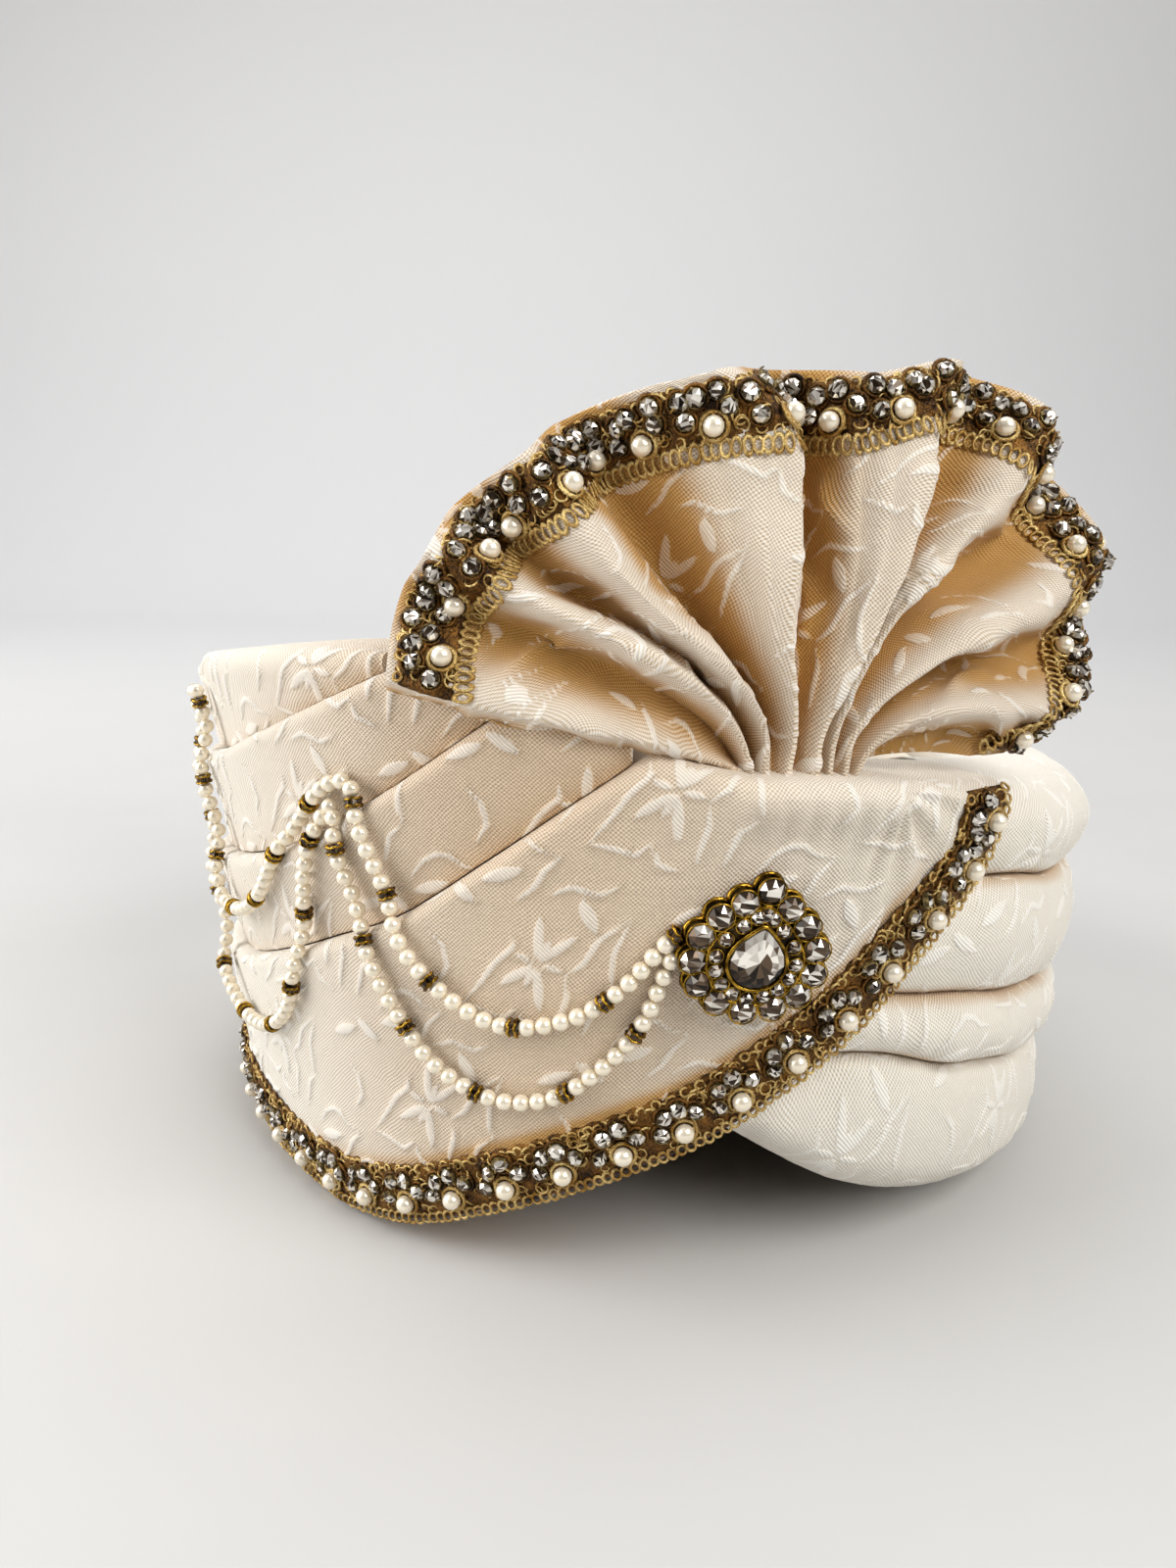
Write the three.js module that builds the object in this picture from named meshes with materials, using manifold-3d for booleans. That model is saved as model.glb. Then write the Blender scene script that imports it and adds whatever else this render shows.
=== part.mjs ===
// A ready-tied turban: cloth wound in padded folds round a cap, with a pleated fan at the front,
// jewelled edging, a brooch and two strings of pearls.
// Millimetres, +Z up. Directions are degrees round the body: 0 is the front (-Y), 90 is +X.
import * as THREE from "three";
import Module from "manifold-3d";

const wasm = await Module();
wasm.setup();
const { Manifold, CrossSection } = wasm;
const { lerp, clamp, smoothstep, degToRad } = THREE.MathUtils;

// The body is an oval that widens upward. An offset is a distance outward from the oval at the floor.
const HALF_WIDTH = 114;
const HALF_DEPTH = 129;
const FLARE = 0.1;
const CENTRE_SHIFT = new THREE.Vector3(0.792, 3.133, 0);

// The cap inside: its wall and its domed top.
const CAP_OUTSIDE = -27.5;
const CAP_WALL = 3;
const CAP_BELOW_CREST = 9;
const CAP_APEX = 116;
const CAP_STEP = 7.5;
const CAP_DOME_STEPS = [0.22, 0.45, 0.7, 1];
const CAP_EDGE = [
  { direction: 0, height: 45 },
  { direction: 15, height: 26 },
  { direction: 30, height: 13 },
  { direction: 52, height: 3 },
  { direction: 285, height: 3 },
  { direction: 310, height: 5 },
  { direction: 326, height: 11 },
  { direction: 343, height: 26 },
  { direction: 360, height: 45 },
];

// Heights of the folds' edges, a row for each direction. The cloth starts at the right front, goes
// round the back and ends as the front panel, so directions run on past 360.
const WINDING = [
  { direction: -6, rim: 39, low: 52.5, middle: 70, upper: 93, crest: 114, shoulder: 10, foot: 10, ease: 0 },
  { direction: 0, rim: 33, low: 52.2, middle: 68.7, upper: 92, crest: 113.5, shoulder: 10, foot: 11, ease: 0 },
  { direction: 15, rim: 16.5, low: 50, middle: 65, upper: 89.6, crest: 112, shoulder: 10, foot: 12, ease: 0 },
  { direction: 30, rim: 6.5, low: 42.5, middle: 59.2, upper: 86.4, crest: 109.5, shoulder: 12, foot: 12, ease: 0 },
  { direction: 45, rim: 1.5, low: 34.5, middle: 53, upper: 82, crest: 106, shoulder: 14, foot: 12, ease: 0 },
  { direction: 60, rim: 0, low: 28.5, middle: 49, upper: 77.5, crest: 103, shoulder: 15, foot: 11, ease: 0 },
  { direction: 90, rim: 0, low: 24, middle: 46, upper: 73, crest: 99.5, shoulder: 15, foot: 10, ease: 0 },
  { direction: 135, rim: 0, low: 24, middle: 46.5, upper: 73, crest: 99.5, shoulder: 14, foot: 9, ease: 0 },
  { direction: 180, rim: 0, low: 27, middle: 52, upper: 77.5, crest: 103, shoulder: 13, foot: 7, ease: 0 },
  { direction: 225, rim: 0, low: 34, middle: 59, upper: 84.5, crest: 110, shoulder: 10, foot: 0, ease: -2 },
  { direction: 270, rim: 0, low: 43, middle: 69, upper: 95.5, crest: 121.5, shoulder: 7, foot: 0, ease: -3.5 },
  { direction: 292, rim: 0, low: 50, middle: 76.5, upper: 103.5, crest: 127.6, shoulder: 6, foot: 0, ease: -3.5 },
  { direction: 307, rim: 1, low: 61.2, middle: 86, upper: 114.4, crest: 132, shoulder: 6, foot: 0, ease: -2.5 },
  { direction: 316.5, rim: 2.2, low: 70.2, middle: 95.6, upper: 122.8, crest: 134.4, shoulder: 7, foot: 0, ease: -1 },
  { direction: 326, rim: 6.4, low: 80, middle: 108, upper: 132, crest: 135, shoulder: 8, foot: 0, ease: 0 },
  { direction: 336, rim: 15.2, low: 95.6, middle: 123.6, upper: 143, crest: 131, shoulder: 10, foot: 0, ease: 0 },
  { direction: 343.5, rim: 22.2, low: 108, middle: 135, upper: 151, crest: 126, shoulder: 10, foot: 0, ease: 0 },
  { direction: 350, rim: 28.8, low: 118.4, middle: 145, upper: 158, crest: 121, shoulder: 9, foot: 0, ease: 0 },
  { direction: 358, rim: 37.2, low: 132, middle: 157, upper: 166, crest: 115.6, shoulder: 4, foot: 0, ease: 0 },
  { direction: 367.3, rim: 51, low: 148, middle: 171, upper: 176, crest: 114.4, shoulder: 4, foot: 0, ease: 0 },
  { direction: 373.3, rim: 62, low: 158, middle: 180, upper: 182, crest: 113.4, shoulder: 4, foot: 0, ease: 0 },
  { direction: 378.9, rim: 75.6, low: 169, middle: 189, upper: 188, crest: 112.4, shoulder: 5, foot: 0, ease: 0 },
  { direction: 384.2, rim: 88.2, low: 179, middle: 198, upper: 194, crest: 111.4, shoulder: 6, foot: 0, ease: 0 },
  { direction: 387, rim: 98, low: 184, middle: 202, upper: 197, crest: 110.6, shoulder: 6, foot: 0, ease: 0 },
];
const FOLDS = [
  { name: "front_fold", lower: "rim", upper: "low", end: 387, ease: 0 },
  { name: "middle_fold", lower: "low", upper: "middle", end: 349, ease: 0 },
  { name: "upper_fold", lower: "middle", upper: "upper", end: 339, ease: -0.5 },
  { name: "top_fold", lower: "upper", upper: "crest", end: 325, ease: -1.5 },
];
const FOLD_INSIDE = -26.7;
const FOLD_GAP = 0.4;
const CREST_DIP = 3;
const ROLL_VALLEY = -2;
const ROLL_BULGE = 5.5;
const ROLL_FULLNESS = 0.7;
const PLEAT_FOOT = -2.5;
const PLEAT_LIFT = 5;
const PANEL_FOOT = 0.5;
const PANEL_LIFT = 2;
const PLEATS_BEGIN = 170;
const PLEATS_FULL = 235;
const ACROSS = [0, 0.08, 0.25, 0.5, 0.75, 0.92, 1];
// The rolls start under the panel's slanted edge, a little inward of it.
const START_GAP = 0.55;
const START_INNER_GAP = 3;
const START_END = 60;
const START_STEPS = [0, 0.1, 0.22, 0.35, 0.48, 0.61, 0.74, 0.87];
const START_TUCK = 5;
const ROLL_STEP = 7.5;
const PLEAT_STATIONS = [
  291, 297, 303, 308, 313, 317, 321, 325, 329, 332, 335.5, 339, 342.5, 346, 349,
  353, 357, 361, 365, 369, 373, 376.5, 379.5, 382, 384.5, 387,
];

// The fan: a sheet gathered at its base. Each row is a fold line; rise is toward the viewer.
const FAN_BASE = new THREE.Vector3(9, -136.5, 116.1);
const FAN_FACING = degToRad(6);
const FAN_LEAN = Math.tan(degToRad(12));
const FAN_BEND = 165;
const FAN_NECK_HALF = 14;
const FAN_SPREAD = 80;
const FAN_CLOTH = 2;
const FAN_NECK_RISE = 0.55;
const FAN_INNER_STEPS = [0, 0.12, 0.3, 0.52];
const FAN = [
  { angle: -76, reach: 66, rise: 5 },
  { angle: -66, reach: 70, rise: -1.5 },
  { angle: -52, reach: 72.5, rise: 4 },
  { angle: -44, reach: 73, rise: -3 },
  { angle: -36, reach: 73.5, rise: 4 },
  { angle: -25, reach: 75, rise: -6 },
  { angle: -15, reach: 74.5, rise: 5 },
  { angle: -9, reach: 75, rise: 0 },
  { angle: -3, reach: 75.5, rise: 6 },
  { angle: 6, reach: 74, rise: -6 },
  { angle: 14, reach: 77.5, rise: 3 },
  { angle: 18.5, reach: 82, rise: 0 },
  { angle: 23.5, reach: 85, rise: 6 },
  { angle: 31, reach: 87.5, rise: -5 },
  { angle: 38, reach: 88, rise: 4 },
  { angle: 47, reach: 83, rise: -5 },
  { angle: 57, reach: 80.5, rise: 4 },
  { angle: 67, reach: 72.5, rise: -4 },
  { angle: 76, reach: 61, rise: 2 },
  { angle: 84, reach: 48, rise: -2 },
  { angle: 91, reach: 38, rise: -6 },
];

// Edging: a ribbon that the jewels sit on.
const TRIM_WIDTH = 14;
const TRIM_THICK = 1.8;
const TRIM_GAP = 0.35;
const FAN_HEM = 2.5;
const WRAP_TRIM_START = 240;
const WRAP_TRIM_STEP = 5;
const WRAP_TRIM_CLEARANCE = 0.7;
const WRAP_TRIM_TOP = [
  { direction: 386.8, height: 104 },
  { direction: 385.6, height: 109 },
];

// Brooch: a scalloped setting with two rings of round stones and a drop-shaped stone.
const BROOCH_DIRECTION = 0.4;
const BROOCH_HEIGHT = 81.3;
const BROOCH_LEAN = degToRad(-8.5);
const BROOCH_STAND_OFF = 1.0;
const BROOCH_PLATE = 1.6;
const OUTER_RING = { count: 14, halfWidth: 12.3, halfHeight: 13.8, cup: 2.9, stone: 2.2, top: 2.4 };
const INNER_RING = { count: 16, halfWidth: 8.5, halfHeight: 9.6, cup: 1.6, stone: 1.25, top: 3.0 };
const STONE_TABLE = 0.6;
const STONE_RISE = 0.5;
const STONE_SIDES = 8;
const CUP_SIDES = 10;
const DROP_HALF_WIDTH = 5.4;
const DROP_BELOW = 5.4;
const DROP_ABOVE = 7;
const DROP_POINTS = 20;
const DROP_TABLE = 0.55;
const DROP_GIRDLE = 1.2;
const DROP_CROWN = 2;
const BEZEL_WALL = 0.9;
const BEZEL_GAP = 0.3;
const BEZEL_TOP = 4;

// Strings of pearls: each row is a point of the route, lifted off the cloth where it hangs free.
const PEARL = 4;
const STRAND_LIFT = 1.1;
const STRAND_SIDES = 8;
const STRAND_STEP = 9;
const STRAND_SPREAD = 5;
const STRAND_UPPER = [
  { direction: 352, height: 82, lift: 0 },
  { direction: 348.5, height: 71.5, lift: 0 },
  { direction: 343.7, height: 64.2, lift: 0 },
  { direction: 337.2, height: 61.3, lift: 0 },
  { direction: 331.4, height: 67, lift: 0 },
  { direction: 327.4, height: 76, lift: 0 },
  { direction: 325, height: 89, lift: 0 },
  { direction: 322.9, height: 102, lift: 0 },
  { direction: 321.6, height: 108, lift: 0 },
  { direction: 317.8, height: 105, lift: 0 },
  { direction: 310.7, height: 89.5, lift: 0 },
  { direction: 305, height: 75, lift: 0 },
  { direction: 298, height: 66, lift: 0.5 },
  { direction: 291.5, height: 65, lift: 1 },
  { direction: 287.5, height: 71.5, lift: 1.5 },
  { direction: 286, height: 84, lift: 2 },
  { direction: 285.8, height: 97, lift: 2 },
  { direction: 286, height: 109, lift: 2 },
  { direction: 286.3, height: 118.5, lift: 1 },
];
const STRAND_LOWER = [
  { direction: 352.6, height: 76.5, lift: 0 },
  { direction: 350.4, height: 63.5, lift: 0 },
  { direction: 346.6, height: 53, lift: 0 },
  { direction: 341.8, height: 45.4, lift: 0 },
  { direction: 336, height: 43.8, lift: 0 },
  { direction: 330, height: 50, lift: 0 },
  { direction: 325.8, height: 62, lift: 0 },
  { direction: 322.4, height: 77, lift: 0 },
  { direction: 320.3, height: 91, lift: 0 },
  { direction: 319.4, height: 102, lift: 0 },
  { direction: 317, height: 96, lift: 0 },
  { direction: 314, height: 80, lift: 0 },
  { direction: 312, height: 64, lift: 0 },
  { direction: 309, height: 49, lift: 0 },
  { direction: 303, height: 39.5, lift: 0 },
  { direction: 295.5, height: 37.5, lift: 0.5 },
  { direction: 287.5, height: 44, lift: 1 },
  { direction: 283, height: 55, lift: 1.5 },
  { direction: 281.3, height: 69, lift: 2 },
  { direction: 281, height: 84, lift: 2 },
  { direction: 281.2, height: 98, lift: 2 },
  { direction: 281.7, height: 110, lift: 2 },
  { direction: 282.2, height: 118, lift: 1 },
];

const CLOTH = new THREE.MeshStandardMaterial({ name: "jacquard_cloth", color: 0xeee2cd, roughness: 0.9 });
const CAP_CLOTH = new THREE.MeshStandardMaterial({ name: "cap_cloth", color: 0xd8ccb6, roughness: 0.95 });
const GOLD_LACE = new THREE.MeshStandardMaterial({ name: "gold_lace", color: 0xa8853f, roughness: 0.5 });
const GOLD = new THREE.MeshStandardMaterial({ name: "gilt_metal", color: 0xc9a24a, metalness: 1, roughness: 0.3 });
const CRYSTAL = new THREE.MeshStandardMaterial({ name: "crystal", color: 0xe6e6ea, roughness: 0.05 });
const PEARLS = new THREE.MeshStandardMaterial({ name: "pearl", color: 0xf1e9da, roughness: 0.25 });

// A smooth curve through one column of a table.
function slopeAt(rows, key, column, i) {
  const before = rows[Math.max(i - 1, 0)];
  const after = rows[Math.min(i + 1, rows.length - 1)];
  return (after[column] - before[column]) / (after[key] - before[key]);
}

function along(rows, key, column, at) {
  let i = 0;
  while (i < rows.length - 2 && at > rows[i + 1][key]) {
    i += 1;
  }
  const a = rows[i];
  const b = rows[i + 1];
  const span = b[key] - a[key];
  const t = clamp((at - a[key]) / span, 0, 1);
  const near = 1 - t;
  const value = near * near * (1 + 2 * t) * a[column] + t * t * (3 - 2 * t) * b[column];
  const bend = slopeAt(rows, key, column, i) * near - slopeAt(rows, key, column, i + 1) * t;
  return value + span * t * near * bend;
}

function winding(column, direction) {
  return along(WINDING, "direction", column, direction);
}

function edgeHeight(column, direction) {
  return Math.max(0, Math.min(winding(column, direction), winding("crest", direction)));
}

function bodyPoint(direction, offset, height) {
  const angle = degToRad(direction);
  const x = (HALF_WIDTH + offset) * Math.sin(angle);
  const y = -(HALF_DEPTH + offset) * Math.cos(angle);
  return new THREE.Vector3(x, y, height);
}

// How far a rounded edge of this radius falls back at a given depth from the edge.
function rounding(depth, radius) {
  if (depth >= radius) {
    return 0;
  }
  const x = 1 - Math.max(depth, 0) / radius;
  return radius * (1 - Math.sqrt(1 - x * x));
}

function foldHeight(fold, direction, across) {
  const low = edgeHeight(fold.lower, direction) + (fold.lower === "rim" ? 0 : FOLD_GAP / 2);
  const open = winding(fold.upper, direction) > winding("crest", direction) - 0.01;
  const high = edgeHeight(fold.upper, direction) - (open ? 0 : FOLD_GAP / 2);
  return lerp(low, high, across);
}

function foldOffset(fold, direction, height, across) {
  const pleated = smoothstep(direction, PLEATS_BEGIN, PLEATS_FULL);
  const roll = ROLL_VALLEY + ROLL_BULGE * Math.pow(Math.sin(Math.PI * across), ROLL_FULLNESS);
  const panel = fold.lower === "rim";
  const pleat = panel ? PANEL_FOOT + PANEL_LIFT * across : PLEAT_FOOT + PLEAT_LIFT * across;
  const fromCrest = winding("crest", direction) - height;
  const fromRim = height - winding("rim", direction);
  const shoulder = rounding(fromCrest, winding("shoulder", direction));
  const foot = rounding(fromRim, Math.max(0.01, winding("foot", direction)));
  const ease = winding("ease", direction) + fold.ease;
  return FLARE * height + lerp(roll, pleat, pleated) + ease - shoulder - (panel ? foot : 0);
}

// Direction at which the panel's lower edge reaches a height.
function hemDirection(height) {
  let from = 340;
  let to = 387;
  for (let i = 0; i < 30; i += 1) {
    const half = (from + to) / 2;
    if (winding("rim", half) < height) {
      from = half;
    } else {
      to = half;
    }
  }
  return from;
}

function startPlace(fold, across, progress) {
  let first = 0;
  for (let i = 0; i < 12; i += 1) {
    first = hemDirection(foldHeight(fold, first, across)) - 360 + START_GAP;
  }
  return lerp(first, START_END, progress);
}

function foldSection(fold, station) {
  const points = [];
  for (const across of ACROSS) {
    const starting = station.progress !== undefined;
    const direction = starting ? startPlace(fold, across, station.progress) : station.direction;
    const height = foldHeight(fold, direction, across);
    const tuck = starting ? START_TUCK * (1 - smoothstep(station.progress, 0, 0.35)) : 0;
    const offset = foldOffset(fold, direction, height, across) - tuck;
    points.push({ direction, offset, height });
  }
  const first = points[0];
  const last = points[points.length - 1];
  const open = winding(fold.upper, last.direction) > winding("crest", last.direction) - 0.01;
  const inward = station.progress === undefined ? 0 : START_INNER_GAP * (1 - station.progress);
  const dip = open ? CREST_DIP : 0;
  points.unshift({ direction: first.direction + inward, offset: FOLD_INSIDE, height: first.height });
  points.push({ direction: last.direction + inward, offset: FOLD_INSIDE, height: last.height - dip });
  return points;
}

// A closed solid through a row of sections with the same number of points.
// The last edge of a section takes the other diagonal, so neighbouring folds keep their gap.
function loft(sections, caps, closed = false) {
  const keys = new Map();
  const positions = [];
  const index = [];
  const vertex = (p) => {
    const key = [p.x, p.y, p.z].map((v) => Math.round(v * 1e4)).join();
    if (!keys.has(key)) {
      keys.set(key, positions.length / 3);
      positions.push(p.x, p.y, p.z);
    }
    return keys.get(key);
  };
  const face = (a, b, c) => {
    if (a !== b && b !== c && c !== a) {
      index.push(a, b, c);
    }
  };
  const rows = sections.map((section) => section.map(vertex));
  const count = rows[0].length;
  const spans = closed ? rows.length : rows.length - 1;
  for (let i = 0; i < spans; i += 1) {
    const here = rows[i];
    const next = rows[(i + 1) % rows.length];
    for (let j = 0; j < count; j += 1) {
      const k = (j + 1) % count;
      if (j === count - 2) {
        face(here[j], next[j], here[k]);
        face(here[k], next[j], next[k]);
      } else {
        face(here[j], next[j], next[k]);
        face(here[j], next[k], here[k]);
      }
    }
  }
  for (const [a, b, c] of caps) {
    face(rows[0][a], rows[0][b], rows[0][c]);
    const end = rows[rows.length - 1];
    face(end[a], end[c], end[b]);
  }
  return outward(positions, index);
}

// Turns a closed mesh so that it faces outward.
function outward(positions, index) {
  const point = (i) => new THREE.Vector3().fromArray(positions, 3 * i);
  let volume = 0;
  for (let i = 0; i < index.length; i += 3) {
    volume += point(index[i]).dot(point(index[i + 1]).cross(point(index[i + 2])));
  }
  if (volume < 0) {
    index.reverse();
  }
  const geometry = new THREE.BufferGeometry();
  geometry.setAttribute("position", new THREE.Float32BufferAttribute(positions, 3));
  geometry.setIndex(index);
  return geometry;
}

function flatCaps(points) {
  return THREE.ShapeUtils.triangulateShape(points, []);
}

// Caps for a section that is a front row of points and the same row back again.
function railCaps(count) {
  const caps = [];
  for (let j = 0; j < count / 2 - 1; j += 1) {
    caps.push([j, j + 1, count - 1 - j]);
    caps.push([j + 1, count - 2 - j, count - 1 - j]);
  }
  return caps;
}

function foldGeometry(fold) {
  const stations = START_STEPS.map((progress) => ({ progress }));
  for (let direction = START_END; direction < 286; direction += ROLL_STEP) {
    stations.push({ direction });
  }
  for (const direction of PLEAT_STATIONS) {
    if (direction <= fold.end) {
      stations.push({ direction });
    }
  }
  const sections = stations.map((station) => foldSection(fold, station));
  const outline = sections[0].map((p) => new THREE.Vector2(p.offset, p.height));
  const points = sections.map((section) => section.map((p) => bodyPoint(p.direction, p.offset, p.height)));
  return loft(points, flatCaps(outline));
}

function capGeometry() {
  const sections = [];
  for (let direction = 0; direction < 360; direction += CAP_STEP) {
    const edge = along(CAP_EDGE, "direction", "height", direction);
    const crest = winding("crest", direction < 30 ? direction + 360 : direction);
    const top = crest - CAP_BELOW_CREST;
    const side = (offset, drop) => {
      const wall = [edge, lerp(edge, top, 0.5), top - drop];
      const points = wall.map((height) => bodyPoint(direction, offset, height));
      for (const t of CAP_DOME_STEPS) {
        const rim = bodyPoint(direction, offset, 0);
        const height = lerp(top, CAP_APEX, 1 - (1 - t) * (1 - t)) - drop;
        points.push(new THREE.Vector3(rim.x * (1 - t), rim.y * (1 - t), height));
      }
      return points;
    };
    const outside = side(CAP_OUTSIDE, 0);
    const inside = side(CAP_OUTSIDE - CAP_WALL, CAP_WALL);
    sections.push([...outside, ...inside.reverse()]);
  }
  return loft(sections, [], true);
}

function fanPoint(angle, reach, depth) {
  const turn = degToRad(angle);
  const side = (FAN_NECK_HALF * angle) / FAN_SPREAD + reach * Math.sin(turn);
  const rise = reach * Math.cos(turn);
  const back = (side * side) / (2 * FAN_BEND) + rise * FAN_LEAN - depth;
  const x = FAN_BASE.x + side * Math.cos(FAN_FACING) - back * Math.sin(FAN_FACING);
  const y = FAN_BASE.y + side * Math.sin(FAN_FACING) + back * Math.cos(FAN_FACING);
  return new THREE.Vector3(x, y, FAN_BASE.z + rise);
}

function fanDepth(angle, share) {
  return along(FAN, "angle", "rise", angle) * lerp(FAN_NECK_RISE, 1, share);
}

function fanAngles() {
  const angles = [];
  FAN.forEach((row, i) => {
    if (i > 0) {
      angles.push((FAN[i - 1].angle + row.angle) / 2);
    }
    angles.push(row.angle);
  });
  return angles;
}

function trimReaches(reach) {
  return [reach - FAN_HEM - TRIM_WIDTH, reach - FAN_HEM - TRIM_WIDTH / 2, reach - FAN_HEM];
}

function fanGeometry() {
  const sections = fanAngles().map((angle) => {
    const reach = along(FAN, "angle", "reach", angle);
    const steps = trimReaches(reach);
    const reaches = [...FAN_INNER_STEPS.map((step) => step * steps[0]), ...steps, reach];
    const side = (depth) => reaches.map((r) => fanPoint(angle, r, fanDepth(angle, r / reach) + depth));
    return [...side(FAN_CLOTH / 2), ...side(-FAN_CLOTH / 2).reverse()];
  });
  return loft(sections, railCaps(sections[0].length));
}

function fanTrimGeometry() {
  const sections = fanAngles().map((angle) => {
    const reach = along(FAN, "angle", "reach", angle);
    const base = FAN_CLOTH / 2 + TRIM_GAP;
    const reaches = trimReaches(reach);
    const side = (depth) => reaches.map((r) => fanPoint(angle, r, fanDepth(angle, r / reach) + depth));
    return [...side(base + TRIM_THICK), ...side(base).reverse()];
  });
  return loft(sections, railCaps(sections[0].length));
}

// The outermost cloth at a place on the body.
function clothOffset(direction, height) {
  for (const fold of FOLDS) {
    const low = foldHeight(fold, direction, 0);
    const high = foldHeight(fold, direction, 1);
    if (height <= high + FOLD_GAP && direction <= fold.end + 4) {
      const across = clamp((height - low) / Math.max(high - low, 0.1), 0, 1);
      return foldOffset(fold, direction, height, across);
    }
  }
  return foldOffset(FOLDS[3], direction, height, 1);
}

function mmPerDegree(direction, height) {
  const here = bodyPoint(direction, FLARE * height, height);
  return here.distanceTo(bodyPoint(direction + 1, FLARE * height, height));
}

function wrapTrimGeometry() {
  const path = [];
  for (let direction = WRAP_TRIM_START; direction < 384; direction += WRAP_TRIM_STEP) {
    path.push({ direction, height: Math.max(winding("rim", direction), 0.8) });
  }
  path.push({ direction: 386.6, height: winding("rim", 386.6) });
  path.push(...WRAP_TRIM_TOP);
  const sections = path.map((row, i) => {
    const before = path[Math.max(i - 1, 0)];
    const after = path[Math.min(i + 1, path.length - 1)];
    const mm = mmPerDegree(row.direction, row.height);
    const run = new THREE.Vector2((after.direction - before.direction) * mm, after.height - before.height);
    run.normalize();
    const side = (lift) => [0.2, 0.5, 1].map((share) => {
      const width = share * TRIM_WIDTH;
      const direction = row.direction - (run.y * width) / mm;
      const height = Math.min(row.height + run.x * width, winding("crest", direction) - 1);
      return bodyPoint(direction, clothOffset(Math.min(direction, 387), height) + lift, height);
    });
    const base = WRAP_TRIM_CLEARANCE;
    return [...side(base + TRIM_THICK), ...side(base).reverse()];
  });
  return loft(sections, railCaps(sections[0].length));
}

function strandGeometry(rows) {
  const places = rows.map((row) => new THREE.Vector3(row.direction, row.height, row.lift));
  const route = new THREE.CatmullRomCurve3(places);
  const points = route.getSpacedPoints(2 * rows.length).map((place) => {
    const around = [-STRAND_SPREAD, 0, STRAND_SPREAD];
    const cloth = Math.max(...around.map((step) => clothOffset(place.x, place.y + step)));
    return bodyPoint(place.x, cloth + PEARL / 2 + STRAND_LIFT + place.z, place.y);
  });
  const path = new THREE.CatmullRomCurve3(points, false, "centripetal");
  const round = new THREE.Shape(
    Array.from({ length: STRAND_SIDES }, (_, i) => {
      const angle = (2 * Math.PI * i) / STRAND_SIDES;
      return new THREE.Vector2((PEARL / 2) * Math.cos(angle), (PEARL / 2) * Math.sin(angle));
    }),
  );
  const steps = Math.round(path.getLength() / STRAND_STEP);
  return new THREE.ExtrudeGeometry(round, { extrudePath: path, steps, bevelEnabled: false });
}

function geometryOf(solid) {
  const mesh = solid.getMesh();
  const geometry = new THREE.BufferGeometry();
  const positions = [];
  for (let i = 0; i < mesh.numVert; i += 1) {
    positions.push(...mesh.position(i));
  }
  geometry.setAttribute("position", new THREE.Float32BufferAttribute(positions, 3));
  geometry.setIndex([...mesh.triVerts]);
  return geometry;
}

// Outline of the drop: round below, drawn to a point above.
function dropOutline(grow) {
  return Array.from({ length: DROP_POINTS }, (_, i) => {
    const angle = (2 * Math.PI * i) / DROP_POINTS;
    const up = Math.cos(angle);
    const taper = up > 0 ? 1 - 0.45 * up * up : 1;
    const x = (DROP_HALF_WIDTH + grow) * Math.sin(angle) * taper;
    const y = up * ((up > 0 ? DROP_ABOVE : DROP_BELOW) + grow);
    return [-x, y];
  });
}

function ringSolids(ring) {
  const solids = [];
  for (let i = 0; i < ring.count; i += 1) {
    const angle = (2 * Math.PI * i) / ring.count;
    const place = [ring.halfWidth * Math.sin(angle), ring.halfHeight * Math.cos(angle), 0];
    solids.push(Manifold.cylinder(ring.top, ring.cup, ring.cup, CUP_SIDES).translate(place));
    const rise = ring.stone * STONE_RISE;
    const stone = Manifold.cylinder(rise + 0.1, ring.stone, ring.stone * STONE_TABLE, STONE_SIDES);
    solids.push(stone.translate([place[0], place[1], ring.top - 0.1]));
  }
  return solids;
}

function broochGeometry() {
  const plate = Manifold.cylinder(BROOCH_PLATE, 1, 1, 28);
  const outer = plate.scale([OUTER_RING.halfWidth, OUTER_RING.halfHeight, 1]);
  const inner = plate.scale([INNER_RING.halfWidth, INNER_RING.halfHeight, INNER_RING.top / BROOCH_PLATE]);
  const bezel = new CrossSection([dropOutline(BEZEL_GAP + BEZEL_WALL)]).extrude(BEZEL_TOP);
  const seat = new CrossSection([dropOutline(BEZEL_GAP)]).extrude(BEZEL_TOP);
  const solids = [outer, inner, bezel, ...ringSolids(OUTER_RING), ...ringSolids(INNER_RING)];
  return geometryOf(Manifold.union(solids).subtract(seat.translate([0, 0, BROOCH_PLATE])));
}

function broochStoneGeometry() {
  const bottom = BROOCH_PLATE + BEZEL_GAP;
  const top = BEZEL_TOP;
  const ring = (grow, scale, height) => {
    return dropOutline(grow).map(([x, y]) => new THREE.Vector3(x * scale, y * scale, height));
  };
  const rings = [ring(0, 1, bottom), ring(0, 1, top - 0.2), ring(0, 0.8, top + DROP_GIRDLE)];
  rings.push(ring(0, DROP_TABLE, top + DROP_CROWN));
  const outline = dropOutline(0).map(([x, y]) => new THREE.Vector2(x, y));
  return loft(rings, flatCaps(outline));
}

function named(name, geometry, material) {
  const mesh = new THREE.Mesh(geometry, material);
  mesh.name = name;
  return mesh;
}

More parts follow.
